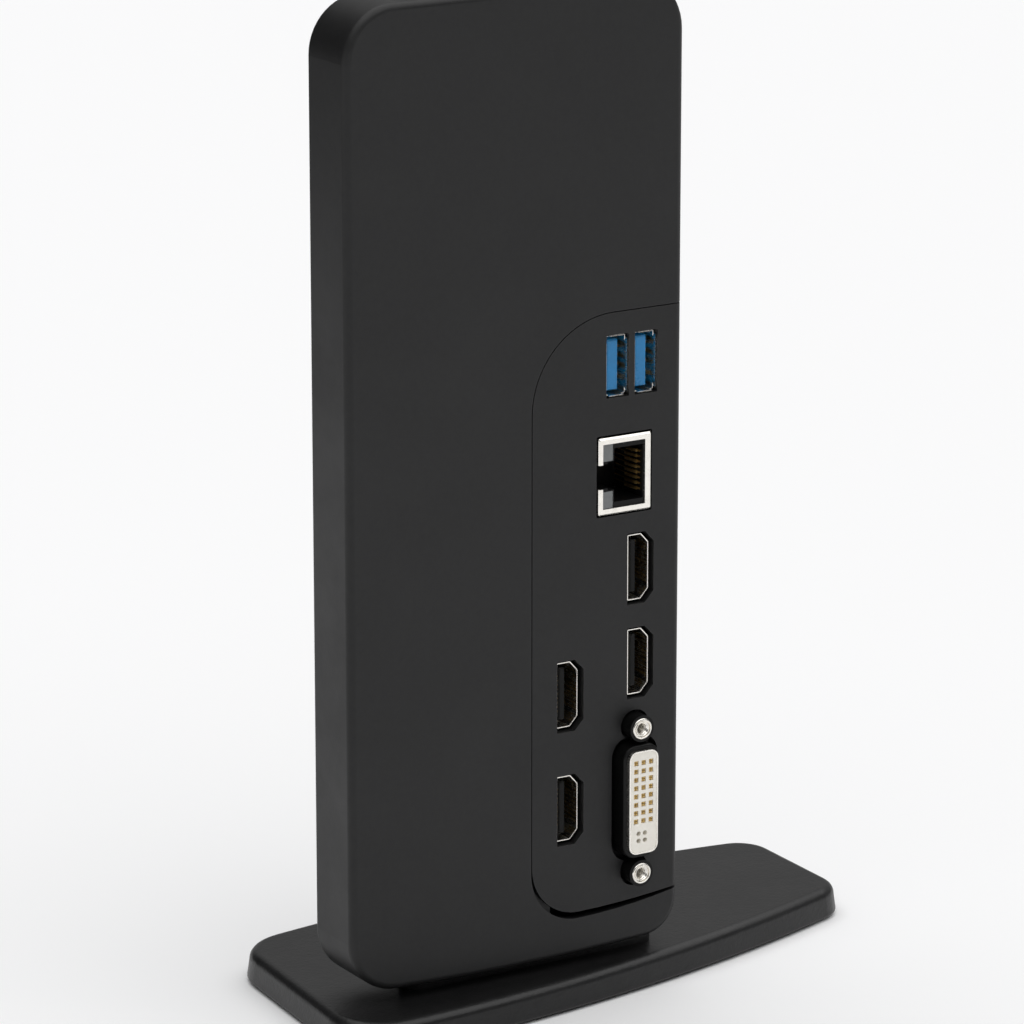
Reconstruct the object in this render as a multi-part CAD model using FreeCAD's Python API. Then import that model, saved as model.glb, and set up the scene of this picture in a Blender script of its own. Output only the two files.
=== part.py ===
import FreeCAD
import Part
import math
import os

# Laptop docking station: a thin upright tower over a long, flat base plate.
# Millimetres. Tower parts are drawn in the tower's own frame:
#   u  along the broad face from the tower's left edge, along X
#   w  from the tower's middle plane, towards the back, along Y
#   v  up from the tower's lowest point, along Z
# Base parts are drawn in plan from the tower's axis. Both are then moved so that
# the origin lies on the desk, at the centre of the base's footprint.

V = FreeCAD.Vector

# ---- tower
TOWER_W = 83.0            # broad face, left to right
TOWER_T = 16.0            # front face to back face
TOWER_H = 215.8
TOP_CORNER_R = 12.0
BOTTOM_LEFT_R = 12.0
BOTTOM_RIGHT_R = 8.5
BOTTOM_BOW = 1.6          # the bottom edge sags this much between its corners
FRONT_ARRIS_R = 1.6
BACK_ARRIS_R = 1.3
WALL = 2.0
FACE = -TOWER_T / 2       # w of the port face
BACK = TOWER_T / 2        # w of the back face
FACE_IN = FACE + WALL     # w of the port wall's inside
COVER_T = 1.6
COVER_IN = BACK - COVER_T
COVER_REBATE = 1.0
COVER_GAP = 0.12

# ---- opening for the port panel
OPEN_LEFT = 45.0
OPEN_TOP = 144.3
OPEN_BOTTOM = 8.8
OPEN_BOTTOM_RISE = 2.8    # the lower edge climbs this much to the tower's right edge
OPEN_TOP_R = 20.5
OPEN_BOTTOM_R = 12.0
OPEN_WRAP = 3.4           # the panel wraps this far round the tower's right side
PANEL_SEAM = 0.22
PANEL_T = 2.0
SLOT_LEFT = 1.5           # height of the intake slot below the panel, at its left
SLOT_RIGHT = 0.5          # and where it meets the tower's right edge
EDGE_MIDDLE_SHARE = 0.27  # part of the climb reached halfway along
LEDGE = 1.3
LEDGE_T = 1.0
HOOK_HEIGHTS = (30.0, 75.0, 118.0)
HOOK_W = 5.0
HOOK_T = 1.0
HOOK_GAP = 0.2
HOOK_CATCH = 0.9

# ---- boards and sockets
BOARD_T = 1.6
BOARD_FRONT = 4.4
BOARD_BACK = BOARD_FRONT + BOARD_T
TAIL_END = BOARD_BACK + 0.2
USB_SPOTS = [(66.6, 132.2), (73.8, 132.2)]
USB_SIZE = (5.5, 13.4)
USB_HOLE = (5.76, 13.9)
USB_FRONT = -7.5
USB_WALL = 0.3
USB_WINDOW_V = 3.1        # middle of each spring window from the socket's middle
USB_TONGUE_SETBACK = 0.9
USB_TONGUE_GAP = 0.45
USB_TONGUE_T = 2.9
USB_TONGUE_HALF = 5.55
USB_BLOCK_T = 1.6
RJ45_SPOT = (68.4, 108.1)
RJ45_SIZE = (13.4, 17.2)
RJ45_HOLE = (14.1, 18.1)
RJ45_FRONT = -8.5
RJ45_RIM_T = 0.5
HDMI_SPOTS = [(72.7, 86.4), (72.8, 65.0), (54.9, 60.1), (55.0, 34.2)]
HDMI_SIZE = (5.5, 14.9)
HDMI_CHAMFER = (2.0, 2.2)
HDMI_FRONTS = [-6.9, -6.9, -6.6, -6.6]
HDMI_CLEAR = 0.62
HDMI_WALL = 0.4
HDMI_TONGUE_GAP = 0.85
HDMI_TONGUE_T = 1.5
HDMI_TONGUE_HALF = 5.9
HDMI_TONGUE_SETBACK = 0.9
HDMI_BLOCK_T = 2.2
HDMI_CONTACT_PITCH = 1.0
DVI_SPOT = (71.5, 34.1)
DVI_FACE = (7.4, 23.6)
DVI_FRONT = -11.9
DVI_PITCH = 1.91
DVI_RING_T = 0.35
DVI_SQUARE = 1.16
DVI_ROUND_R = 0.55
DVI_ROUND_PITCH = 1.64
DVI_ROUND_DROP = 2.85     # last square row down to the first round row
DVI_COLUMNS = 3
DVI_ROWS = 8
JACK_PITCH = 33.3
JACK_R = 2.4
JACK_BOSS_R = 3.0
JACK_FRONT = -11.3
JACK_HOLE_R = 1.13
JACK_HOLE_DEPTH = 5.4
JACK_STEM_R = 1.4
DVI_BOSS_FRONT = -11.0

# ---- parts on the board: (u, v) of the middle, (width, height, thickness)
BOARD_MIDDLE = (41.5, 107.0)
BOARD_SIZE = (75.0, 203.0)
CHIPS = {
    "display_controller": ((28.0, 78.0), (17.0, 17.0, 1.6)),
    "hub_controller": ((50.0, 112.0), (9.0, 9.0, 0.9)),
    "ethernet_controller": ((30.0, 118.0), (8.0, 8.0, 0.9)),
    "ethernet_magnetics": ((50.0, 92.0), (9.5, 16.0, 4.2)),
}
CRYSTAL_SPOTS = [(40.0, 126.0), (14.0, 96.0)]
CRYSTAL_SIZE = (3.2, 2.5, 0.8)
THERMAL_PAD_T = 0.5
SINK_SIZE = (24.0, 28.0)
SINK_BASE_T = 1.5
FIN_COUNT = 9
FIN_PITCH = 2.7
FIN_T = 1.2
FIN_HEIGHT = 5.0
CAN_SPOTS = [(46.0, 160.0), (56.0, 160.0), (46.0, 172.0), (20.0, 40.0), (30.0, 40.0)]
CAN_R = 3.15
CAN_HEIGHT = 7.6
COIL_SPOTS = [(36.0, 152.0), (36.0, 164.0), (14.0, 56.0)]
COIL_SIZE = (7.0, 7.0)
COIL_HEIGHT = 3.2

# ---- side sockets, on the right narrow side
DC_V = 160.0
DC_W = 0.6
DC_HOLE_R = 3.2
DC_PIN_R = 1.05
HOST_V = 180.0
HOST_W = 2.5

# ---- power button on the top
BUTTON_U = 22.0
BUTTON_R = 4.3
BUTTON_GAP = 0.35
BUTTON_PROUD = 1.0
BUTTON_TRAVEL = 0.7
FLANGE_T = 1.6
SPRING_R = 3.3
SPRING_WIRE = 0.8
SPRING_LENGTH = 3.6
SWITCH_DROP = 14.0
PLUNGER_H = 0.85
LIGHT_U = 32.0
LIGHT_R = 1.1

# ---- screws that hold back cover, board and port shell together: (u, v)
COVER_SCREWS = [(10.5, 10.5), (68.0, 5.6), (7.0, 108.0), (75.0, 150.5), (9.5, 205.5), (73.5, 205.5)]
POST_R = 2.7
SCREW_R = 1.25

# ---- base
FOOT_STANDOFF = 0.7
FOOT_RECESS = 0.3
FOOT_R = 5.0
BASE_T = 6.5
BASE_TOP_R = 2.2
BASE_BOTTOM_R = 0.6
BASE_DRAFT = 0.8          # the walls lean in this much on their way up
BASE_WALL = 2.0
BASE_PLATE_T = 1.2
NECK_H = 2.0
NECK_INSET_LEFT = 17.0
NECK_INSET_RIGHT = 3.4
NECK_DEPTH = 8.0
BASE_FRONT = [(-49.0, -19.9), (29.9, -13.1), (96.0, 5.4)]
BASE_BACK = [(96.0, 43.9), (26.0, 50.1), (-46.0, 43.0)]
BASE_RIGHT_X = 96.4
BASE_LEFT = [(-47.9, -22.0), (-42.7, 44.0)]
BASE_CORNERS_R = {"front_left": 13.0, "front_right": 9.5, "back_right": 9.0, "back_left": 14.0}
FEET = [(-37.0, -9.5), (24.0, -5.0), (84.0, 14.0), (84.0, 34.0), (26.0, 39.0), (-34.0, 31.0)]
BASE_SCREWS = [(-38.0, 12.0), (-4.0, 36.0), (56.0, 37.0), (86.5, 24.0), (54.0, 4.5)]
NECK_SCREWS = [(-20.0, 0.0), (0.0, 0.0), (20.0, 0.0)]
NECK_BOSS_TOP = WALL + 0.9  # v of the flat bosses that the neck nuts sit on

BASE_BOTTOM_Z = FOOT_STANDOFF
BASE_TOP_Z = BASE_BOTTOM_Z + BASE_T
TOWER_Z = BASE_TOP_Z + NECK_H
TOWER_ORIGIN = V(-TOWER_W / 2, 0, TOWER_Z)


# ---------------------------------------------------------------- helpers
def box(x0, x1, y0, y1, z0, z1):
    return Part.makeBox(x1 - x0, y1 - y0, z1 - z0, V(x0, y0, z0))


def rod(radius, start, end):
    along = end - start
    return Part.makeCylinder(radius, along.Length, start, along)


def cone(r0, r1, start, end):
    along = end - start
    return Part.makeCone(r0, r1, along.Length, start, along)


def fuse(shapes):
    whole = shapes[0]
    for other in shapes[1:]:
        whole = whole.fuse(other)
    return whole.removeSplitter()


def cut(shape, tools):
    for tool in tools:
        shape = shape.cut(tool)
    return shape


def prism_y(points, w0, w1):
    """Straight-sided outline of (u, v) points, extruded from w0 to w1."""
    wire = Part.makePolygon([V(u, w0, v) for u, v in points + points[:1]])
    return Part.Face(wire).extrude(V(0, w1 - w0, 0))


def fillet_edges(shape, radius, wanted):
    edges = [edge for edge in shape.Edges if wanted(edge)]
    return shape.makeFillet(radius, edges) if edges else shape


def runs_along(edge, axis):
    ends = [vertex.Point for vertex in edge.Vertexes]
    if len(ends) != 2:
        return False
    along = (ends[1] - ends[0]).normalize()
    return edge.Curve.TypeId == "Part::GeomLine" and abs(along.dot(axis)) > 0.999


def lies_at(edge, axis, place):
    low = edge.BoundBox
    span = {"x": (low.XMin, low.XMax), "y": (low.YMin, low.YMax), "z": (low.ZMin, low.ZMax)}[axis]
    return abs(span[0] - place) < 1e-4 and abs(span[1] - place) < 1e-4


def round_box_y(centre, size, w0, w1, radius):
    """Box along Y about a (u, v) centre, with its four long edges rounded."""
    (u, v), (du, dv) = centre, size
    block = box(u - du / 2, u + du / 2, w0, w1, v - dv / 2, v + dv / 2)
    return fillet_edges(block, radius, lambda edge: runs_along(edge, V(0, 1, 0)))


def slot_x(v, w, length, width, u0, u1):
    """Round-ended slot through X: length along Z, width along Y."""
    half = (length - width) / 2
    middle = box(u0, u1, w - width / 2, w + width / 2, v - half, v + half)
    ends = [rod(width / 2, V(u0, w, v + side * half), V(u1, w, v + side * half)) for side in (-1, 1)]
    return fuse([middle] + ends)


def hdmi_outline(spot, size, grow):
    """Flat side to the left, both right-hand corners chamfered."""
    u, v = spot
    half_u = size[0] / 2 + grow
    half_v = size[1] / 2 + grow
    ease = grow * 0.4
    step_u = HDMI_CHAMFER[0] + ease
    step_v = HDMI_CHAMFER[1] + ease
    right = u + half_u
    return [
        (u - half_u, v - half_v),
        (u - half_u, v + half_v),
        (right - step_u, v + half_v),
        (right, v + half_v - step_v),
        (right, v - half_v + step_v),
        (right - step_u, v - half_v),
    ]


# ---------------------------------------------------------------- tower housing
def tower_block(inset, w0, w1):
    """The tower's outline, drawn in by inset, from w0 to w1."""
    left = inset
    right = TOWER_W - inset
    top = TOWER_H - inset
    low = BOTTOM_BOW + inset
    sag = V(TOWER_W / 2, w0, inset)
    sides = [V(right, w0, low), V(right, w0, top), V(left, w0, top), V(left, w0, low)]
    edges = [Part.makeLine(sides[i], sides[i + 1]) for i in range(3)]
    edges.append(Part.Arc(sides[3], sag, sides[0]).toShape())
    block = Part.Face(Part.Wire(edges)).extrude(V(0, w1 - w0, 0))
    block = fillet_edges(block, TOP_CORNER_R - inset,
                         lambda edge: runs_along(edge, V(0, 1, 0)) and lies_at(edge, "z", top))
    for side, radius in ((left, BOTTOM_LEFT_R), (right, BOTTOM_RIGHT_R)):
        block = fillet_edges(block, radius - inset, lambda edge: runs_along(edge, V(0, 1, 0))
                             and lies_at(edge, "z", low) and lies_at(edge, "x", side))
    return block


def tower_outside():
    block = tower_block(0.0, FACE, BACK)
    block = fillet_edges(block, FRONT_ARRIS_R, lambda edge: lies_at(edge, "y", FACE))
    return fillet_edges(block, BACK_ARRIS_R, lambda edge: lies_at(edge, "y", BACK))


def side_outline(w, left, top, low, rise, r_top, r_low):
    """Face open to the tower's right: two rounded left corners and a climbing lower edge."""
    right = TOWER_W + 1.0
    diagonal = math.sqrt(0.5)
    centre_top = (left + r_top, top - r_top)
    centre_low = (left + r_low, low + r_low)
    start = V(left, w, centre_low[1])
    upper = V(left, w, centre_top[1])
    across = V(centre_top[0], w, top)
    bend_top = V(centre_top[0] - r_top * diagonal, w, centre_top[1] + r_top * diagonal)
    bend_low = V(centre_low[0] - r_low * diagonal, w, centre_low[1] - r_low * diagonal)
    foot = V(centre_low[0], w, low)
    end = V(right, w, low + rise)
    middle = V((foot.x + right) / 2, w, low + rise * EDGE_MIDDLE_SHARE)
    edges = [
        Part.makeLine(start, upper),
        Part.Arc(upper, bend_top, across).toShape(),
        Part.makeLine(across, V(right, w, top)),
        Part.makeLine(V(right, w, top), end),
        Part.Arc(end, middle, foot).toShape(),
        Part.Arc(foot, bend_low, start).toShape(),
    ]
    return Part.Face(Part.Wire(edges))


def opening_block(w0, w1, grow):
    """The panel's opening; grow widens it, a negative value narrows it."""
    face = side_outline(w0, OPEN_LEFT - grow, OPEN_TOP + grow, OPEN_BOTTOM - grow, OPEN_BOTTOM_RISE,
                        OPEN_TOP_R + grow, OPEN_BOTTOM_R + grow)
    return face.extrude(V(0, w1 - w0, 0))


def panel_block(w0, w1):
    """The panel's own outline: a thin seam all round and a tapering slot below."""
    rise = OPEN_BOTTOM_RISE + SLOT_RIGHT - SLOT_LEFT
    face = side_outline(w0, OPEN_LEFT + PANEL_SEAM, OPEN_TOP - PANEL_SEAM, OPEN_BOTTOM + SLOT_LEFT, rise,
                        OPEN_TOP_R - PANEL_SEAM, OPEN_BOTTOM_R)
    return face.extrude(V(0, w1 - w0, 0))


def post_axis(u, v, w0, w1):
    return V(u, w0, v), V(u, w1, v)


def make_port_shell(outside):
    cavity = tower_block(WALL, FACE_IN, COVER_IN)
    rebate = tower_block(COVER_REBATE, COVER_IN, BACK + 1.0)
    wrap_end = FACE + OPEN_WRAP
    face_hole = opening_block(FACE - 1.0, FACE_IN + 0.01, 0.0)
    side_hole = box(TOWER_W - WALL - 0.01, TOWER_W + 1.0, FACE - 1.0, wrap_end,
                    OPEN_BOTTOM + OPEN_BOTTOM_RISE, OPEN_TOP)
    ledge = opening_block(FACE_IN, FACE_IN + LEDGE_T, 1.0).cut(
        opening_block(FACE_IN - 1.0, FACE_IN + 2.0, -LEDGE))
    air_way = box(OPEN_LEFT + OPEN_BOTTOM_R * 0.5, TOWER_W, FACE_IN - 1.0, FACE_IN + 2.0,
                  OPEN_BOTTOM - 2.0, OPEN_BOTTOM + 6.0)
    ledge = ledge.cut(air_way).common(tower_block(WALL, FACE_IN, COVER_IN))
    posts = []
    pilots = []
    for u, v in COVER_SCREWS:
        posts.append(rod(POST_R, *post_axis(u, v, FACE_IN, BOARD_FRONT)))
        pilots.append(rod(SCREW_R + 0.02, *post_axis(u, v, FACE_IN + 1.0, BOARD_FRONT + 1.0)))
    bosses = [rod(3.4, V(TOWER_W / 2 + x, y, WALL - 0.5), V(TOWER_W / 2 + x, y, NECK_BOSS_TOP))
              for x, y in NECK_SCREWS]
    shell = cut(outside, [cavity, rebate, face_hole, side_hole])
    shell = fuse([shell, ledge] + posts + bosses)
    button_hole = rod(BUTTON_R + BUTTON_GAP, V(BUTTON_U, 0, TOWER_H - 4), V(BUTTON_U, 0, TOWER_H + 2))
    light_hole = rod(LIGHT_R, V(LIGHT_U, 0, TOWER_H - 4), V(LIGHT_U, 0, TOWER_H + 2))
    dc_hole = rod(DC_HOLE_R + 0.6, V(TOWER_W - 4, DC_W, DC_V), V(TOWER_W + 2, DC_W, DC_V))
    host_hole = slot_x(HOST_V, HOST_W, 10.4, 4.6, TOWER_W - 4, TOWER_W + 2)
    neck_holes = [rod(SCREW_R + 0.3, V(TOWER_W / 2 + x, y, -1), V(TOWER_W / 2 + x, y, NECK_BOSS_TOP + 1))
                  for x, y in NECK_SCREWS]
    return cut(shell, pilots + [button_hole, light_hole, dc_hole, host_hole] + neck_holes)


def make_back_cover():
    plate = tower_block(COVER_REBATE + COVER_GAP, COVER_IN, BACK - 0.1)
    plate = fillet_edges(plate, 0.4, lambda edge: lies_at(edge, "y", BACK - 0.1))
    for u, v in COVER_SCREWS:
        pad = rod(POST_R, *post_axis(u, v, BOARD_BACK, COVER_IN + 0.1))
        plate = plate.fuse(pad)
    holes = []
    for u, v in COVER_SCREWS:
        holes.append(rod(SCREW_R + 0.1, *post_axis(u, v, BOARD_BACK - 1, BACK + 1)))
        holes.append(cone(SCREW_R + 0.1, 2.75, *post_axis(u, v, BACK - 1.5, BACK - 0.1)))
    for first_v in (28.0, 160.0):
        for row in range(9):
            v = first_v + row * 4.0
            slot = box(20.0, 63.0, COVER_IN - 1, BACK + 1, v - 0.7, v + 0.7)
            slot = fillet_edges(slot, 0.65, lambda edge: runs_along(edge, V(0, 1, 0)))
            holes.append(slot)
    return cut(plate, holes)


def dvi_hole(w0, w1):
    u, v = DVI_SPOT
    holes = [round_box_y(DVI_SPOT, (DVI_FACE[0] + 4.4, DVI_FACE[1] + 5.0), w0, w1, 4.5)]
    for side in (-1, 1):
        holes.append(rod(JACK_BOSS_R + 0.6, *post_axis(u, v + side * JACK_PITCH / 2, w0, w1)))
    return fuse(holes)


def make_panel_hooks(back):
    """Snap hooks that reach behind the ledge of the opening."""
    left = OPEN_LEFT + LEDGE + HOOK_GAP
    catch = FACE_IN + LEDGE_T + 0.05
    end = FACE_IN + LEDGE_T + HOOK_T
    hooks = []
    for v in HOOK_HEIGHTS:
        low = v - HOOK_W / 2
        high = v + HOOK_W / 2
        hooks.append(box(left, left + HOOK_T, back - 0.3, end, low, high))
        hooks.append(box(left - HOOK_CATCH, left + HOOK_T, catch, end, low, high))
    return hooks


def make_port_panel(outside):
    back = FACE + PANEL_T
    skin = tower_block(0.0, FACE - 1.0, BACK)
    body = panel_block(FACE - 1.0, back).common(skin)
    wrap_end = FACE + OPEN_WRAP - 0.2
    wrap = panel_block(FACE - 1.0, wrap_end).common(
        box(TOWER_W - WALL, TOWER_W, back - 0.5, wrap_end, 0.0, OPEN_TOP))
    body = fuse([body, wrap]).common(outside)
    body = fuse([body] + make_panel_hooks(back))
    w0 = FACE - 1.0
    w1 = back + 1.0
    holes = [round_box_y(spot, USB_HOLE, w0, w1, 0.3) for spot in USB_SPOTS]
    holes.append(round_box_y(RJ45_SPOT, RJ45_HOLE, w0, w1, 0.4))
    holes += [prism_y(hdmi_outline(spot, HDMI_SIZE, HDMI_CLEAR), w0, w1) for spot in HDMI_SPOTS]
    holes.append(dvi_hole(w0, w1))
    return cut(body, holes)


def make_cover_screws():
    screws = []
    for u, v in COVER_SCREWS:
        head = cone(SCREW_R, 2.6, *post_axis(u, v, BACK - 1.45, BACK - 0.15))
        shank = rod(SCREW_R, *post_axis(u, v, -1.0, BACK - 1.4))
        drive = [box(u - 1.5, u + 1.5, BACK - 0.8, BACK + 1, v - 0.25, v + 0.25),
                 box(u - 0.25, u + 0.25, BACK - 0.8, BACK + 1, v - 1.5, v + 1.5)]
        screws.append(cut(fuse([head, shank]), drive))
    return Part.makeCompound(screws)


# ---------------------------------------------------------------- board and its chips
def board_tail(u, v, half):
    return box(u - half, u + half, BOARD_FRONT - 0.3, TAIL_END, v - half, v + half)


def chip(u, v, du, dv, height):
    block = box(u - du / 2, u + du / 2, BOARD_FRONT - height, BOARD_FRONT, v - dv / 2, v + dv / 2)
    top_edges = [edge for edge in block.Edges if lies_at(edge, "y", BOARD_FRONT - height)]
    return block.makeChamfer(0.2, top_edges)


def make_chips():
    parts = {name: chip(*spot, *size) for name, (spot, size) in CHIPS.items()}
    parts["crystal"] = Part.makeCompound([chip(*spot, *CRYSTAL_SIZE) for spot in CRYSTAL_SPOTS])
    (u, v), (du, dv, height) = CHIPS["display_controller"]
    pad_back = BOARD_FRONT - height
    sink_back = pad_back - THERMAL_PAD_T
    fin_root = sink_back - SINK_BASE_T
    left = u - SINK_SIZE[0] / 2
    low = v - SINK_SIZE[1] / 2
    high = v + SINK_SIZE[1] / 2
    parts["thermal_pad"] = box(u - du / 2 + 0.5, u + du / 2 - 0.5, sink_back, pad_back,
                               v - dv / 2 + 0.5, v + dv / 2 - 0.5)
    fins = []
    for index in range(FIN_COUNT):
        fin_left = left + index * FIN_PITCH
        fins.append(box(fin_left, fin_left + FIN_T, fin_root - FIN_HEIGHT, fin_root, low, high))
    plate = box(left, left + SINK_SIZE[0], fin_root, sink_back, low, high)
    parts["heatsink"] = fuse([plate] + fins)
    return parts


def make_capacitors():
    tip = BOARD_FRONT - CAN_HEIGHT
    cans = []
    for u, v in CAN_SPOTS:
        can = rod(CAN_R, *post_axis(u, v, tip, BOARD_FRONT))
        cans.append(fillet_edges(can, 0.5, lambda edge: lies_at(edge, "y", tip)))
    return Part.makeCompound(cans)


def make_inductors():
    coils = [round_box_y(spot, COIL_SIZE, BOARD_FRONT - COIL_HEIGHT, BOARD_FRONT, 1.2) for spot in COIL_SPOTS]
    return Part.makeCompound(coils)


def make_board():
    board = round_box_y(BOARD_MIDDLE, BOARD_SIZE, BOARD_FRONT, BOARD_BACK, 9.0)
    board = board.common(tower_block(WALL + 0.4, BOARD_FRONT, BOARD_BACK))
    holes = [rod(SCREW_R + 0.15, *post_axis(u, v, 0, BACK)) for u, v in COVER_SCREWS]
    return cut(board, holes)


# ---------------------------------------------------------------- sockets on the port face
def make_usb(number, spot):
    u, v = spot
    du, dv = USB_SIZE
    inner_size = (du - 2 * USB_WALL, dv - 2 * USB_WALL)
    tube = round_box_y(spot, USB_SIZE, USB_FRONT, BOARD_FRONT, 0.5)
    room = round_box_y(spot, inner_size, USB_FRONT - 1, BOARD_FRONT + 1, 0.3)
    windows = []
    for side in (-1, 1):
        middle = v + side * USB_WINDOW_V
        windows.append(box(u - du, u + du, USB_FRONT + 2.6, USB_FRONT + 6.6, middle - 0.9, middle + 0.9))
    tip = USB_FRONT + USB_TONGUE_SETBACK
    tongue_left = u - du / 2 + USB_WALL + USB_TONGUE_GAP
    tongue_right = tongue_left + USB_TONGUE_T
    tongue = box(tongue_left, tongue_right, tip, BOARD_FRONT, v - USB_TONGUE_HALF, v + USB_TONGUE_HALF)
    tongue = tongue.makeChamfer(0.3, [edge for edge in tongue.Edges if lies_at(edge, "y", tip)])
    block_size = (inner_size[0] - 0.02, inner_size[1] - 0.02)
    block = round_box_y(spot, block_size, BOARD_FRONT - USB_BLOCK_T, BOARD_FRONT, 0.28)
    contacts = []
    for offset in (-3.5, -1.0, 1.0, 3.5):
        blade = box(tongue_right - 0.12, tongue_right + 0.12, tip + 1.1, BOARD_FRONT,
                    v + offset - 0.5, v + offset + 0.5)
        contacts.append(fuse([blade, board_tail(tongue_right, v + offset, 0.3)]))
    for offset in (-4.0, -2.25, 0.0, 2.25, 4.0):
        contacts.append(box(tongue_right - 0.12, tongue_right + 0.06, tip + 0.35, tip + 0.95,
                            v + offset - 0.3, v + offset + 0.3))
    name = "usb_a_%d" % number
    return {name + "_shell": cut(tube, [room] + windows),
            name + "_tongue": cut(fuse([tongue, block]), contacts),
            name + "_contacts": Part.makeCompound(contacts)}


def make_hdmi(number, spot, front):
    u, v = spot
    outer = prism_y(hdmi_outline(spot, HDMI_SIZE, 0.0), front, BOARD_FRONT)
    room = prism_y(hdmi_outline(spot, HDMI_SIZE, -HDMI_WALL), front - 1, BOARD_FRONT + 1)
    rounded = fillet_edges(outer, 0.35, lambda edge: runs_along(edge, V(0, 1, 0)))
    left = u - HDMI_SIZE[0] / 2 + HDMI_WALL + HDMI_TONGUE_GAP
    right = left + HDMI_TONGUE_T
    tip = front + HDMI_TONGUE_SETBACK
    tongue = box(left, right, tip, BOARD_FRONT, v - HDMI_TONGUE_HALF, v + HDMI_TONGUE_HALF)
    tongue = tongue.makeChamfer(0.25, [edge for edge in tongue.Edges if lies_at(edge, "y", tip)])
    block = prism_y(hdmi_outline(spot, HDMI_SIZE, -HDMI_WALL - 0.01), BOARD_FRONT - HDMI_BLOCK_T, BOARD_FRONT)
    contacts = []
    for side, count in ((left, 9), (right, 10)):
        for index in range(count):
            z = v + (index - (count - 1) / 2) * HDMI_CONTACT_PITCH
            blade = box(side - 0.1, side + 0.1, tip + 0.6, BOARD_FRONT, z - 0.22, z + 0.22)
            contacts.append(fuse([blade, board_tail(side, z, 0.15)]))
    name = "hdmi_%d" % number
    return {name + "_shell": rounded.cut(room), name + "_insulator": cut(fuse([tongue, block]), contacts),
            name + "_contacts": Part.makeCompound(contacts)}


def make_rj45():
    """Network socket on its side: contacts to the right, latch way to the left."""
    u, v = RJ45_SPOT
    du, dv = RJ45_SIZE
    wall = 0.3
    front = RJ45_FRONT
    tube = round_box_y(RJ45_SPOT, RJ45_SIZE, front, BOARD_FRONT, 0.5)
    tube = tube.makeChamfer(0.35, [edge for edge in tube.Edges if lies_at(edge, "y", front)])
    room = round_box_y(RJ45_SPOT, (du - 2 * wall, dv - 2 * wall), front + RJ45_RIM_T, BOARD_FRONT + 1, 0.3)
    window = box(u - 5.7, u + 5.0, front - 1, front + 1, v - 7.2, v + 7.2)
    latch_gap = box(u - du, u - 5.0, front - 1, front + 3.0, v - 2.7, v + 2.7)
    shell = cut(tube, [room, window, latch_gap])
    inside = (du - 2 * wall - 0.04, dv - 2 * wall - 0.04)
    block = round_box_y(RJ45_SPOT, inside, front + RJ45_RIM_T + 0.02, BOARD_FRONT, 0.3)
    plug_way = box(u - 2.6, u + 4.7, front - 1, BOARD_FRONT - 1.4, v - 6.0, v + 6.0)
    latch_way = box(u - du, u - 2.5, front - 1, BOARD_FRONT - 3.0, v - 2.7, v + 2.7)
    latch_wide = box(u - 4.2, u - 2.5, front - 1, BOARD_FRONT - 3.0, v - 3.2, v + 3.2)
    lights = []
    light_ways = []
    for side in (-1, 1):
        low, high = sorted((v + side * 3.4, v + side * 7.1))
        lights.append(box(u - 5.6, u - 3.1, front + 0.25, front + 7.0, low, high))
        light_ways.append(box(u - 5.62, u - 3.08, front - 1, front + 7.0, low - 0.02, high + 0.02))
    contacts = []
    for index in range(8):
        z = v + (index - 3.5) * 1.2
        wire = box(u + 4.35, u + 4.75, front + 1.2, BOARD_FRONT, z - 0.32, z + 0.32)
        contacts.append(fuse([wire, board_tail(u + 4.55, z, 0.2)]))
    body = cut(block, [plug_way, latch_way, latch_wide] + light_ways + contacts)
    return {"rj45_shell": shell, "rj45_body": body, "rj45_contacts": Part.makeCompound(contacts),
            "rj45_light_pipes": Part.makeCompound(lights)}


def dvi_sockets():
    """Places of the square sockets and of the round ones below them: (u, v, kind)."""
    u, v = DVI_SPOT
    top = v + 9.1
    spots = []
    for column in range(DVI_COLUMNS):
        for row in range(DVI_ROWS):
            spots.append((u + (column - 1) * DVI_PITCH, top - row * DVI_PITCH, "square"))
    last = top - (DVI_ROWS - 1) * DVI_PITCH
    for side in (-0.5, 0.5):
        for row in (0, 1):
            x = u - 0.4 + side * DVI_ROUND_PITCH
            spots.append((x, last - DVI_ROUND_DROP - row * DVI_ROUND_PITCH, "round"))
    return spots


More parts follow.
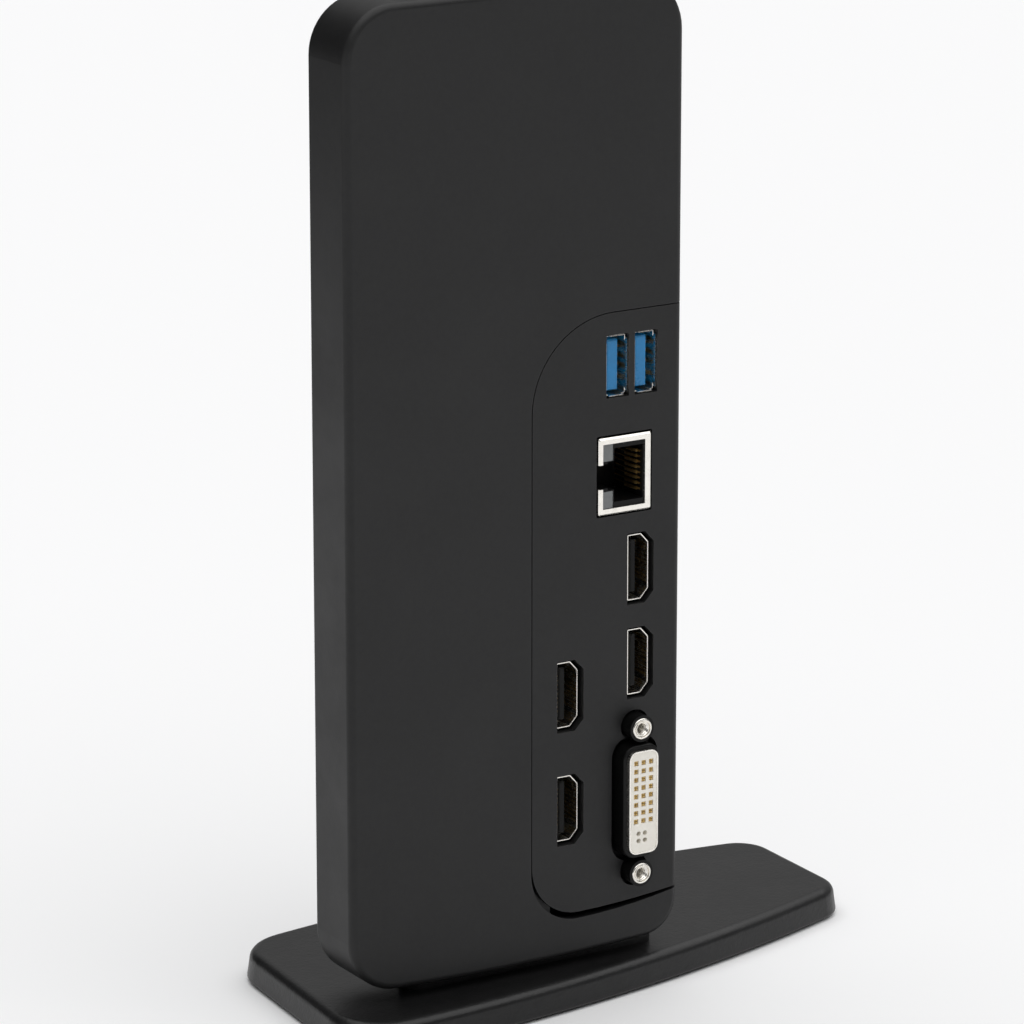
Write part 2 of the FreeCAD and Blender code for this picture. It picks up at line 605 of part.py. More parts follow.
def make_dvi():
    u, v = DVI_SPOT
    seat = FACE + PANEL_T + 0.2
    deep = seat + 3.0
    boss_size = (DVI_FACE[0] + 1.9, DVI_FACE[1] + 2.3)
    boss = round_box_y(DVI_SPOT, boss_size, DVI_BOSS_FRONT, seat + 0.5, 3.2)
    boss = fillet_edges(boss, 0.5, lambda edge: lies_at(edge, "y", DVI_BOSS_FRONT))
    solids = [boss, round_box_y(DVI_SPOT, (10.0, JACK_PITCH + 7.4), seat, BOARD_FRONT, 3.0)]
    bores = []
    for side in (-1, 1):
        z = v + side * JACK_PITCH / 2
        solids.append(rod(JACK_BOSS_R, *post_axis(u, z, DVI_BOSS_FRONT, seat + 0.5)))
        bores.append(rod(JACK_R + 0.02, *post_axis(u, z, DVI_BOSS_FRONT - 1, seat)))
        bores.append(rod(JACK_STEM_R + 0.02, *post_axis(u, z, seat - 1, seat + 6.0)))
    ring_room_size = (DVI_FACE[0] - 2 * DVI_RING_T, DVI_FACE[1] - 2 * DVI_RING_T)
    core_size = (ring_room_size[0] - 0.02, ring_room_size[1] - 0.02)
    pocket = round_box_y(DVI_SPOT, DVI_FACE, DVI_FRONT - 1, deep, 1.9)
    ring = round_box_y(DVI_SPOT, DVI_FACE, DVI_FRONT, deep, 1.9)
    ring_room = round_box_y(DVI_SPOT, ring_room_size, DVI_FRONT - 1, deep + 1, 1.55)
    core = round_box_y(DVI_SPOT, core_size, DVI_FRONT + 0.15, deep, 1.54)
    contacts = []
    mouths = []
    ways = []
    for x, z, kind in dvi_sockets():
        if kind == "square":
            half = DVI_SQUARE / 2
            contact = box(x - half + 0.02, x + half - 0.02, DVI_FRONT + 0.4, BOARD_FRONT,
                          z - half + 0.02, z + half - 0.02)
            mouths.append(box(x - half, x + half, DVI_FRONT - 1, deep + 0.1, z - half, z + half))
            ways.append(box(x - half, x + half, seat, BOARD_FRONT + 1, z - half, z + half))
        else:
            contact = rod(DVI_ROUND_R - 0.1, *post_axis(x, z, DVI_FRONT + 2.5, BOARD_FRONT))
            mouths.append(rod(DVI_ROUND_R, *post_axis(x, z, DVI_FRONT - 1, deep + 0.1)))
            ways.append(rod(DVI_ROUND_R, *post_axis(x, z, seat, BOARD_FRONT + 1)))
        contacts.append(fuse([contact, board_tail(x, z, 0.25)]))
    return {
        "dvi_housing": cut(fuse(solids), [pocket] + bores + ways),
        "dvi_shell": ring.cut(ring_room),
        "dvi_insulator": cut(core, mouths),
        "dvi_contacts": Part.makeCompound(contacts),
        "jackscrews": make_jackscrews(seat),
    }


def make_jackscrews(seat):
    u, v = DVI_SPOT
    screws = []
    for side in (-1, 1):
        z = v + side * JACK_PITCH / 2
        barrel = rod(JACK_R, *post_axis(u, z, JACK_FRONT, seat))
        barrel = fillet_edges(barrel, 0.35, lambda edge: lies_at(edge, "y", JACK_FRONT))
        stem = rod(JACK_STEM_R, *post_axis(u, z, seat - 0.5, seat + 5.5))
        bore = rod(JACK_HOLE_R, *post_axis(u, z, JACK_FRONT - 1, JACK_FRONT + JACK_HOLE_DEPTH))
        screws.append(cut(fuse([barrel, stem]), [bore]))
    return Part.makeCompound(screws)


# ---------------------------------------------------------------- sockets on the right side
def make_host_socket():
    """Reversible host socket lying on the board, its mouth in the right side."""
    mouth = TOWER_W - 0.6
    rear = mouth - 7.4
    outer = slot_x(HOST_V, HOST_W, 8.94, 3.26, rear, mouth)
    inner = slot_x(HOST_V, HOST_W, 8.34, 2.66, rear + 0.3, mouth + 1)
    feet = []
    for side in (-1, 1):
        middle = HOST_V + side * 3.6
        for start in (rear + 1.0, rear + 4.6):
            feet.append(box(start, start + 1.2, HOST_W + 1.2, BOARD_FRONT, middle - 0.4, middle + 0.4))
    shell = fuse([outer] + feet).cut(inner)
    tongue = box(rear + 0.3, mouth - 0.7, HOST_W - 0.35, HOST_W + 0.35, HOST_V - 3.2, HOST_V + 3.2)
    back_block = slot_x(HOST_V, HOST_W, 8.32, 2.64, rear + 0.3, rear + 1.5)
    pads = []
    for face in (-1, 1):
        for index in range(12):
            z = HOST_V + (index - 5.5) * 0.5
            low, high = sorted((HOST_W + face * 0.27, HOST_W + face * 0.37))
            pads.append(box(rear + 2.0, mouth - 1.1, low, high, z - 0.13, z + 0.13))
    body = cut(fuse([tongue, back_block]), pads)
    return {"host_socket_shell": shell, "host_socket_tongue": body,
            "host_socket_contacts": Part.makeCompound(pads)}


def make_dc_jack():
    mouth = TOWER_W - WALL - 0.2
    rear = mouth - 13.0
    body = box(rear, mouth, DC_W - 3.8, BOARD_FRONT, DC_V - 4.5, DC_V + 4.5)
    body = fillet_edges(body, 0.6, lambda edge: runs_along(edge, V(1, 0, 0))
                        and not lies_at(edge, "y", BOARD_FRONT))
    collar = rod(DC_HOLE_R + 0.55, V(mouth - 0.1, DC_W, DC_V), V(TOWER_W - 0.3, DC_W, DC_V))
    room = rod(DC_HOLE_R, V(rear + 2.0, DC_W, DC_V), V(TOWER_W + 1, DC_W, DC_V))
    pin_way = rod(DC_PIN_R, V(rear - 1, DC_W, DC_V), V(rear + 3, DC_W, DC_V))
    pin = rod(DC_PIN_R, V(rear - 0.6, DC_W, DC_V), V(TOWER_W - 1.0, DC_W, DC_V))
    pin = fillet_edges(pin, 0.4, lambda edge: lies_at(edge, "x", TOWER_W - 1.0))
    leaf = box(rear + 2.5, mouth - 2.0, DC_W - DC_HOLE_R - 0.1, DC_W - DC_HOLE_R + 0.5,
               DC_V - 0.9, DC_V + 0.9)
    body = cut(fuse([body, collar]), [room, pin_way, leaf])
    return {"dc_jack_body": body, "dc_jack_contacts": Part.makeCompound([pin, leaf])}


# ---------------------------------------------------------------- button and light
def button_rod(radius, z0, z1):
    return rod(radius, V(BUTTON_U, 0, z0), V(BUTTON_U, 0, z1))


def make_button_set():
    top = TOWER_H
    roof = top - WALL
    cap = button_rod(BUTTON_R, roof - 0.6, top + BUTTON_PROUD)
    cap = fillet_edges(cap, 0.6, lambda edge: lies_at(edge, "z", top + BUTTON_PROUD))
    flange = button_rod(BUTTON_R + 1.1, roof - FLANGE_T, roof - 0.05)
    switch_top = top - SWITCH_DROP
    stem_end = switch_top + BUTTON_TRAVEL + PLUNGER_H
    stem = button_rod(1.6, stem_end, roof - 1.0)
    spring_top = roof - FLANGE_T
    spring_seat = spring_top - SPRING_LENGTH
    spring = button_rod(SPRING_R, spring_seat, spring_top)
    spring = spring.cut(button_rod(SPRING_R - SPRING_WIRE, spring_seat - 1, spring_top + 1))
    body = box(BUTTON_U - 3.1, BUTTON_U + 3.1, -2.4, BOARD_FRONT, switch_top - 7.0, switch_top)
    plunger = button_rod(1.2, switch_top, stem_end - BUTTON_TRAVEL)
    deck = box(BUTTON_U - 5.2, BUTTON_U + 5.2, -4.4, BOARD_FRONT, spring_seat - 1.2, spring_seat)
    deck = deck.cut(button_rod(2.2, spring_seat - 3, spring_seat + 1))
    led = box(LIGHT_U - 0.8, LIGHT_U + 0.8, BOARD_FRONT - 1.2, BOARD_FRONT, top - 15.2, top - 13.6)
    pipe_foot = box(LIGHT_U - 1.4, LIGHT_U + 1.4, -1.4, BOARD_FRONT, top - 13.4, top - 10.5)
    pipe = fuse([rod(LIGHT_R - 0.03, V(LIGHT_U, 0, top - 12.6), V(LIGHT_U, 0, top + 0.15)), pipe_foot])
    return {"power_button": fuse([cap, flange, stem]), "button_spring": spring,
            "tact_switch": fuse([body, plunger]), "switch_bracket": deck,
            "status_led": led, "light_pipe": pipe}


# ---------------------------------------------------------------- base
def base_profile(z):
    """Base outline with sharp corners, at height z."""
    front = Part.Arc(*[V(x, y, z) for x, y in BASE_FRONT])
    back = Part.Arc(*[V(x, y, z) for x, y in BASE_BACK])
    left = Part.LineSegment(*[V(x, y, z) for x, y in BASE_LEFT])
    right = Part.LineSegment(V(BASE_RIGHT_X, -40, z), V(BASE_RIGHT_X, 80, z))
    corners = []
    for first, second in ((left, front), (front, right), (right, back), (back, left)):
        near = first.toShape().distToShape(second.toShape())[1][0][0]
        corners.append(near)
    front_left, front_right, back_right, back_left = corners
    middle_front = V(BASE_FRONT[1][0], BASE_FRONT[1][1], z)
    middle_back = V(BASE_BACK[1][0], BASE_BACK[1][1], z)
    edges = [
        Part.Arc(front_left, middle_front, front_right).toShape(),
        Part.makeLine(front_right, back_right),
        Part.Arc(back_right, middle_back, back_left).toShape(),
        Part.makeLine(back_left, front_left),
    ]
    names = {"front_left": front_left, "front_right": front_right,
             "back_right": back_right, "back_left": back_left}
    return Part.Face(Part.Wire(edges)), names


def base_block(z0, z1, inset):
    face, corners = base_profile(z0)
    block = face.extrude(V(0, 0, z1 - z0))
    for name, point in corners.items():
        radius = BASE_CORNERS_R[name]
        block = fillet_edges(block, radius, lambda edge: runs_along(edge, V(0, 0, 1))
                             and lies_at(edge, "x", point.x) and lies_at(edge, "y", point.y))
    if inset:
        floor = [face for face in block.Faces if abs(face.BoundBox.ZMax - z0) < 1e-6][0]
        outline = floor.OuterWire.makeOffset2D(-inset)
        block = Part.Face(outline).extrude(V(0, 0, z1 - z0))
    return block


def drafted_base(z0, z1):
    """The base's outside: leaning walls, a soft top edge and an eased bottom edge."""
    block = base_block(z0, z1, 0.0)
    rim = [edge for edge in block.Edges if lies_at(edge, "z", z1)]
    foot = z1 - z0 - BASE_BOTTOM_R - 0.2
    block = block.makeChamfer(foot, BASE_DRAFT, rim)
    if abs(top_area(block, z1) - top_area(base_block(z0, z1, BASE_DRAFT), z1)) > 1.0:
        raise ValueError("the draft was cut the wrong way round")
    block = fillet_edges(block, BASE_TOP_R, lambda edge: lies_at(edge, "z", z1))
    return fillet_edges(block, BASE_BOTTOM_R, lambda edge: lies_at(edge, "z", z0))


def top_area(block, z):
    return sum(face.Area for face in block.Faces if abs(face.CenterOfMass.z - z) < 1e-6)


def base_screw(x, y, z0, end):
    head = cone(2.35, SCREW_R, V(x, y, z0 + 0.02), V(x, y, z0 + 1.05))
    shank = rod(SCREW_R, V(x, y, z0 + 1.0), V(x, y, end))
    drive = [box(x - 1.3, x + 1.3, y - 0.25, y + 0.25, 0, z0 + 0.6),
             box(x - 0.25, x + 0.25, y - 1.3, y + 1.3, 0, z0 + 0.6)]
    return cut(fuse([head, shank]), drive)


def make_base():
    z0 = BASE_BOTTOM_Z
    z1 = BASE_TOP_Z
    plate_top = z0 + BASE_PLATE_T
    roof = z1 - BASE_WALL
    cover = drafted_base(z0, z1).cut(base_block(z0 - 1, roof, BASE_WALL))
    bosses = [rod(3.0, V(x, y, plate_top), V(x, y, roof + 0.1)) for x, y in BASE_SCREWS]
    pilots = [rod(SCREW_R + 0.02, V(x, y, z0), V(x, y, roof + 0.8)) for x, y in BASE_SCREWS]
    neck_ways = [rod(SCREW_R + 0.3, V(x, y, z0), V(x, y, z1 + 1)) for x, y in NECK_SCREWS]
    cover = cut(fuse([cover] + bosses), pilots + neck_ways)
    sinks = []
    for x, y in BASE_SCREWS:
        sinks.append(rod(SCREW_R + 0.1, V(x, y, z0 - 1), V(x, y, plate_top + 1)))
        sinks.append(cone(2.5, SCREW_R + 0.1, V(x, y, z0), V(x, y, z0 + 1.1)))
    pads = [rod(FOOT_R + 0.15, V(x, y, z0 - 1), V(x, y, z0 + FOOT_RECESS)) for x, y in FEET]
    plate = cut(base_block(z0, plate_top, BASE_WALL + 0.15), sinks + pads)
    clear = [rod(3.6, V(x, y, 0), V(x, y, z1)) for x, y in BASE_SCREWS + NECK_SCREWS]
    weight = cut(base_block(plate_top, roof - 0.2, BASE_WALL + 0.8), clear)
    feet = []
    for x, y in FEET:
        foot = rod(FOOT_R, V(x, y, 0), V(x, y, FOOT_STANDOFF + FOOT_RECESS))
        feet.append(fillet_edges(foot, 0.3, lambda edge: lies_at(edge, "z", 0.0)))
    screws = [base_screw(x, y, z0, roof + 0.6) for x, y in BASE_SCREWS]
    return {"base_cover": cover, "base_plate": plate, "base_weight": weight,
            "base_screws": Part.makeCompound(screws), "rubber_feet": Part.makeCompound(feet)}


def make_neck(outside):
    left = -TOWER_W / 2 + NECK_INSET_LEFT
    right = TOWER_W / 2 - NECK_INSET_RIGHT
    top = TOWER_Z + BOTTOM_BOW + 2.5
    neck = box(left, right, -NECK_DEPTH / 2, NECK_DEPTH / 2, BASE_TOP_Z, top)
    neck = fillet_edges(neck, 3.0, lambda edge: runs_along(edge, V(0, 0, 1)))
    tower = outside.copy()
    tower.translate(TOWER_ORIGIN)
    neck = neck.cut(tower)
    neck = max(neck.Solids, key=lambda solid: solid.Volume)
    ways = [rod(SCREW_R + 0.3, V(x, y, 0), V(x, y, 30)) for x, y in NECK_SCREWS]
    neck = cut(neck, ways)
    roof = BASE_TOP_Z - BASE_WALL
    nut_seat = TOWER_Z + NECK_BOSS_TOP
    screws = []
    nuts = []
    for x, y in NECK_SCREWS:
        head = rod(2.5, V(x, y, roof - 1.4), V(x, y, roof))
        shank = rod(SCREW_R, V(x, y, roof - 0.1), V(x, y, nut_seat + 3.4))
        drive = box(x - 1.6, x + 1.6, y - 0.3, y + 0.3, roof - 2, roof - 0.8)
        screws.append(cut(fuse([head, shank]), [drive]))
        nut = rod(2.9, V(x, y, nut_seat), V(x, y, nut_seat + 2.4))
        nuts.append(nut.cut(rod(SCREW_R + 0.02, V(x, y, TOWER_Z), V(x, y, TOWER_Z + 20))))
    return {"stand_neck": neck, "neck_screws": Part.makeCompound(screws),
            "neck_nuts": Part.makeCompound(nuts)}


# ---------------------------------------------------------------- assembly
def make_tower_parts(outside):
    parts = {
        "port_shell": make_port_shell(outside),
        "back_cover": make_back_cover(),
        "port_panel": make_port_panel(outside),
        "cover_screws": make_cover_screws(),
        "main_board": make_board(),
        "capacitors": make_capacitors(),
        "inductors": make_inductors(),
    }
    parts.update(make_chips())
    for number, spot in enumerate(USB_SPOTS, 1):
        parts.update(make_usb(number, spot))
    for number, spot in enumerate(HDMI_SPOTS, 1):
        parts.update(make_hdmi(number, spot, HDMI_FRONTS[number - 1]))
    parts.update(make_rj45())
    parts.update(make_dvi())
    parts.update(make_host_socket())
    parts.update(make_dc_jack())
    parts.update(make_button_set())
    tails = [solid for name, shape in parts.items() if name.endswith("contacts") for solid in shape.Solids]
    parts["main_board"] = parts["main_board"].cut(Part.makeCompound(tails))
    for shape in parts.values():
        shape.translate(TOWER_ORIGIN)
    return parts


def main():
    os.makedirs("parts", exist_ok=True)
    outside = tower_outside()
    parts = make_tower_parts(outside)
    parts.update(make_base())
    parts.update(make_neck(outside))
    footprint = parts["base_cover"].optimalBoundingBox(False)
    shift = V(-footprint.Center.x, -footprint.Center.y, 0)
    for name, shape in sorted(parts.items()):
        shape.translate(shift)
        shape.exportStep(os.path.join("parts", name + ".step"))
    print(len(parts), "nodes; tower axis at", -footprint.Center.x, -footprint.Center.y)


main()
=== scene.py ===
import math

import bmesh
import bpy
from bpy.props import FloatProperty, FloatVectorProperty, IntProperty, PointerProperty
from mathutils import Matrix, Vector


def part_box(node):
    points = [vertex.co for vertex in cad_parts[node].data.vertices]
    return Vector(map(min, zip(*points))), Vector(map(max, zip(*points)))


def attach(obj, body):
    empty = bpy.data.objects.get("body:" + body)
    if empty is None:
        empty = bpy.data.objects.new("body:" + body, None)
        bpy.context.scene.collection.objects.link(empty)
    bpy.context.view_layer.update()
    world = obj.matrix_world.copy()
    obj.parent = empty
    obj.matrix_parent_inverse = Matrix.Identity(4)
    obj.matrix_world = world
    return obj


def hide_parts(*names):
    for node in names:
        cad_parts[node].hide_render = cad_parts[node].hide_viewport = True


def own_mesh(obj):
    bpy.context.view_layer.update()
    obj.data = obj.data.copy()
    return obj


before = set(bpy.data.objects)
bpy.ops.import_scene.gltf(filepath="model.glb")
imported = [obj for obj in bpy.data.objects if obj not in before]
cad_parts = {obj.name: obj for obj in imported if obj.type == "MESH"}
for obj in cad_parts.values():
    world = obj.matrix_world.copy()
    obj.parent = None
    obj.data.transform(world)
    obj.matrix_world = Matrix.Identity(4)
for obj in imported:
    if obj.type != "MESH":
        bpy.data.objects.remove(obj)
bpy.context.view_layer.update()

bl_info = {
    "name": "Docking Station Finisher",
    "version": (1, 0, 0),
    "blender": (4, 5, 0),
    "location": "View3D > Sidebar > Dock",
    "description": "Finishes a laptop docking station around its fixed frame",
    "category": "Object",
}

MM = 0.001
DOCK = "dock"


# ---------------------------------------------------------------- sizes and colours
def colour_property(name, text, default):
    return FloatVectorProperty(name=name, description=text, default=default, size=3,
                               min=0.0, max=1.0, subtype="COLOR")


def length_property(name, text, default_mm):
    return FloatProperty(name=name, description=text, default=default_mm * MM, min=0.0,
                         subtype="DISTANCE", unit="LENGTH", precision=5)


def share_property(name, text, default):
    return FloatProperty(name=name, description=text, default=default, min=0.0, max=1.0,
                         subtype="FACTOR")


class DockHousingFinish(bpy.types.PropertyGroup):
    """Moulded plastic of the tower, the port panel and the base."""
    tower_colour: colour_property("Tower", "Colour of the tower's moulded plastic",
                                  (0.0075, 0.0075, 0.0078))
    panel_colour: colour_property("Port panel", "Colour of the port panel", (0.0070, 0.0070, 0.0073))
    base_colour: colour_property("Base", "Colour of the base", (0.0075, 0.0075, 0.0078))
    # Painted edge highlight: a brighter colour mixed into the plastic along its edges.
    edge_highlight_colour: colour_property("Painted edge highlight", "Colour painted along the plastic's edges as a highlight",
                                 (0.022, 0.022, 0.023))
    dust_colour: colour_property("Dust", "Colour of settled dust", (0.20, 0.19, 0.18))
    grain_size: length_property("Grain size", "Width of one grain of the moulded texture", 0.34)
    grain_depth: length_property("Grain depth", "Height of the moulded texture", 0.006)
    edge_width: length_property("Edge width", "Width of the polished band along an edge", 0.5)
    dust_amount: share_property("Dust amount", "How much dust lies on level faces", 0.03)


class DockSocketFinish(bpy.types.PropertyGroup):
    """Metals and plastics of the sockets."""
    nickel_colour: colour_property("Nickel", "Colour of plated shells and jackscrews",
                                   (0.97, 0.94, 0.88))
    gold_colour: colour_property("Gold", "Colour of the contacts", (0.66, 0.46, 0.18))
    blue_colour: colour_property("Blue tongue", "Colour of the fast sockets' tongues",
                                 (0.008, 0.200, 0.470))
    ivory_colour: colour_property("Ivory", "Colour of the display socket's insulator",
                                  (0.97, 0.93, 0.85))
    black_colour: colour_property("Socket black", "Colour of the black socket bodies",
                                  (0.004, 0.004, 0.004))
    sheet_thickness: length_property("Sheet thickness", "Thickness of the drawn socket shells", 0.3)
    strip_width: length_property("Contact strip", "Width of the network socket's spring strips", 0.72)
    lip_steps: IntProperty(name="Lip steps", description="Facets across each eased edge of a lip",
                           default=3, min=2, max=12)


class DockStageSetup(bpy.types.PropertyGroup):
    """Floor, lights and camera."""
    floor_colour: colour_property("Floor", "Colour of the floor", (0.93, 0.93, 0.935))
    room_ahead: share_property("Room ahead", "Brightness of the room on the port side", 0.06)
    room_behind: share_property("Room behind", "Brightness of the backdrop behind the object", 0.36)
    overhead: FloatProperty(name="Overhead", description="Strength of the broad light overhead",
                            default=2.63, min=0.0)
    overhead_spread: FloatProperty(name="Overhead spread", description="Angle across the broad light",
                                   default=math.radians(100.0), subtype="ANGLE")
    azimuth: FloatProperty(name="Azimuth", description="Camera's turn round the object",
                           default=math.radians(-31.3), subtype="ANGLE")
    elevation: FloatProperty(name="Elevation", description="Camera's height above the horizon",
                             default=math.radians(15.53), subtype="ANGLE")
    distance: FloatProperty(name="Distance", description="From the camera to its target",
                            default=1.160, min=0.1, subtype="DISTANCE", unit="LENGTH")
    lens: FloatProperty(name="Lens", description="Focal length", default=191.5, min=1.0, unit="CAMERA")
    target: FloatVectorProperty(name="Target", description="Point that the camera looks at",
                                default=(-0.02623, -0.02314, 0.1128), size=3, subtype="TRANSLATION")


# ---------------------------------------------------------------- node graphs
class Graph:
    """Adds nodes to one tree, from left to right, and joins them."""

    def __init__(self, tree):
        self.tree = tree
        self.place = 0

    def add(self, kind, inputs=None, **settings):
        node = self.tree.nodes.new("ShaderNode" + kind)
        self.place += 1
        node.location = (self.place * 190, -(self.place % 3) * 160)
        for key, value in settings.items():
            setattr(node, key, value)
        for key, value in (inputs or {}).items():
            self.feed(node.inputs[key], value)
        return node

    def feed(self, socket, value):
        if isinstance(value, bpy.types.NodeSocket):
            self.tree.links.new(value, socket)
        elif isinstance(value, (tuple, list)) or hasattr(value, "__len__"):
            full = tuple(value)
            socket.default_value = full + (1.0,) if socket.type == "RGBA" and len(full) == 3 else full
        else:
            socket.default_value = value

    def math(self, operation, first, second=0.0):
        node = self.add("Math", operation=operation)
        self.feed(node.inputs[0], first)
        self.feed(node.inputs[1], second)
        return node.outputs[0]

    def between(self, value, low, high, new_low, new_high):
        node = self.add("MapRange", {"Value": value, "From Min": low, "From Max": high,
                                     "To Min": new_low, "To Max": new_high})
        return node.outputs["Result"]

    def blend(self, factor, first, second):
        node = self.add("Mix", data_type="RGBA")
        for socket in node.inputs:
            if socket.identifier == "Factor_Float":
                self.feed(socket, factor)
            elif socket.identifier == "A_Color":
                self.feed(socket, first)
            elif socket.identifier == "B_Color":
                self.feed(socket, second)
        return [socket for socket in node.outputs if socket.identifier == "Result_Color"][0]

    def noise(self, coordinate, scale, detail=3.0, roughness=0.5, distortion=0.0):
        node = self.add("TexNoise", {"Vector": coordinate, "Scale": scale, "Detail": detail,
                                     "Roughness": roughness, "Distortion": distortion})
        return node.outputs["Fac"]

    def object_place(self):
        return self.add("TexCoord").outputs["Object"]

    def group(self, name, **inputs):
        node = self.add("Group", node_tree=GROUP_MAKERS[name]())
        for key, value in inputs.items():
            self.feed(node.inputs[key.replace("_", " ")], value)
        return node


def new_group(name, inputs, outputs):
    """An empty node group with float sockets. Gives back its graph, input node and output node."""
    tree = bpy.data.node_groups.new(name, "ShaderNodeTree")
    for label, default in inputs:
        socket = tree.interface.new_socket(label, in_out="INPUT", socket_type="NodeSocketFloat")
        socket.default_value = default
    for label in outputs:
        tree.interface.new_socket(label, in_out="OUTPUT", socket_type="NodeSocketFloat")
    graph = Graph(tree)
    entry = tree.nodes.new("NodeGroupInput")
    leave = tree.nodes.new("NodeGroupOutput")
    leave.location = (2600, 0)
    return graph, entry, leave


def moulded_grain():
    """Spark-eroded mould texture: fine pits under a slow unevenness."""
    name = "Moulded Grain"
    if name in bpy.data.node_groups:
        return bpy.data.node_groups[name]
    graph, entry, leave = new_group(name, [("Size", 0.0003)], ["Height", "Speckle"])
    place = graph.object_place()
    scale = graph.math("DIVIDE", 1.0, entry.outputs["Size"])
    pits = graph.add("TexVoronoi", {"Vector": place, "Scale": scale, "Randomness": 1.0},
                     feature="SMOOTH_F1").outputs["Distance"]
    slow = graph.noise(place, graph.math("MULTIPLY", scale, 0.45), 2.0, 0.6)
    graph.feed(leave.inputs["Height"], graph.math("ADD", graph.math("MULTIPLY", pits, 0.6), slow))
    broad = graph.math("MULTIPLY", scale, 0.22)
    graph.feed(leave.inputs["Speckle"], graph.noise(place, broad, 4.0, 0.7))
    return graph.tree


# This edge mask drives a painted edge highlight on the moulded plastic, and real wear on metal and
# board.
def edge_wear_and_highlight():
    """Where the surface turns an outer or inner corner within a radius, broken up by noise."""
    name = "Edge Wear"
    if name in bpy.data.node_groups:
        return bpy.data.node_groups[name]
    graph, entry, leave = new_group(name, [("Radius", 0.0005), ("Breakup", 900.0)], ["Mask"])
    rounded = graph.add("Bevel", {"Radius": entry.outputs["Radius"]}, samples=4).outputs["Normal"]
    flat = graph.add("NewGeometry").outputs["Normal"]
    turn = graph.add("VectorMath", operation="DOT_PRODUCT")
    graph.feed(turn.inputs[0], rounded)
    graph.feed(turn.inputs[1], flat)
    bend = graph.between(graph.math("SUBTRACT", 1.0, turn.outputs["Value"]), 0.004, 0.12, 0.0, 1.0)
    edge_breakup = graph.between(graph.noise(graph.object_place(), entry.outputs["Breakup"], 3.0, 0.65),
                        0.36, 0.62, 0.35, 1.0)
    graph.feed(leave.inputs["Mask"], graph.math("MULTIPLY", bend, edge_breakup))
    return graph.tree


def handling_haze():
    """Slow changes of roughness where hands and cloths have been."""
    name = "Handling Haze"
    if name in bpy.data.node_groups:
        return bpy.data.node_groups[name]
    graph, entry, leave = new_group(name, [("Scale", 30.0), ("Low", 0.4), ("High", 0.5)],
                                    ["Roughness", "Mask"])
    place = graph.object_place()
    broad = graph.noise(place, entry.outputs["Scale"], 4.0, 0.55, 0.6)
    fine = graph.noise(place, graph.math("MULTIPLY", entry.outputs["Scale"], 9.0), 3.0, 0.6)
    both = graph.math("ADD", graph.math("MULTIPLY", broad, 0.7), graph.math("MULTIPLY", fine, 0.3))
    patch = graph.between(both, 0.36, 0.64, 0.0, 1.0)
    node = graph.add("MapRange", {"Value": patch, "To Min": entry.outputs["Low"],
                                  "To Max": entry.outputs["High"]})
    graph.feed(leave.inputs["Roughness"], node.outputs["Result"])
    graph.feed(leave.inputs["Mask"], patch)
    return graph.tree


def drawn_lines():
    """Fine lines left along Y by drawing or turning metal."""
    name = "Drawn Lines"
    if name in bpy.data.node_groups:
        return bpy.data.node_groups[name]
    graph, entry, leave = new_group(name, [("Scale", 6000.0), ("Stretch", 0.05)], ["Height", "Mask"])
    parts = graph.add("SeparateXYZ", {"Vector": graph.object_place()})
    along = graph.math("MULTIPLY", parts.outputs["Y"], entry.outputs["Stretch"])
    squeezed = graph.add("CombineXYZ", {"X": parts.outputs["X"], "Y": along, "Z": parts.outputs["Z"]})
    lines = graph.noise(squeezed.outputs["Vector"], entry.outputs["Scale"], 2.0, 0.5)
    graph.feed(leave.inputs["Height"], lines)
    graph.feed(leave.inputs["Mask"], graph.between(lines, 0.35, 0.65, 0.0, 1.0))
    return graph.tree


def settled_dust():
    """Dust on faces that look up, thicker in patches."""
    name = "Settled Dust"
    if name in bpy.data.node_groups:
        return bpy.data.node_groups[name]
    graph, entry, leave = new_group(name, [("Amount", 0.05), ("Scale", 60.0)], ["Mask"])
    normal = graph.add("NewGeometry").outputs["Normal"]
    rise = graph.add("SeparateXYZ", {"Vector": normal}).outputs["Z"]
    upward = graph.between(rise, 0.6, 1.0, 0.0, 1.0)
    place = graph.object_place()
    patch = graph.between(graph.noise(place, entry.outputs["Scale"], 5.0, 0.6), 0.40, 0.68, 0.35, 1.0)
    motes = graph.between(graph.noise(place, 5200.0, 1.0, 0.5), 0.60, 0.70, 0.4, 1.0)
    cover = graph.math("MULTIPLY", graph.math("MULTIPLY", upward, patch), motes)
    graph.feed(leave.inputs["Mask"], graph.math("MULTIPLY", cover, entry.outputs["Amount"]))
    return graph.tree


GROUP_MAKERS = {
    "grain": moulded_grain,
    "wear_highlight": edge_wear_and_highlight,
    "haze": handling_haze,
    "lines": drawn_lines,
    "dust": settled_dust,
}


# ---------------------------------------------------------------- materials
def start_material(name):
    material = bpy.data.materials.new(name)
    material.use_nodes = True
    shader = material.node_tree.nodes["Principled BSDF"]
    shader.location = (3000, 0)
    material.node_tree.nodes["Material Output"].location = (3300, 0)
    return material, Graph(material.node_tree), shader


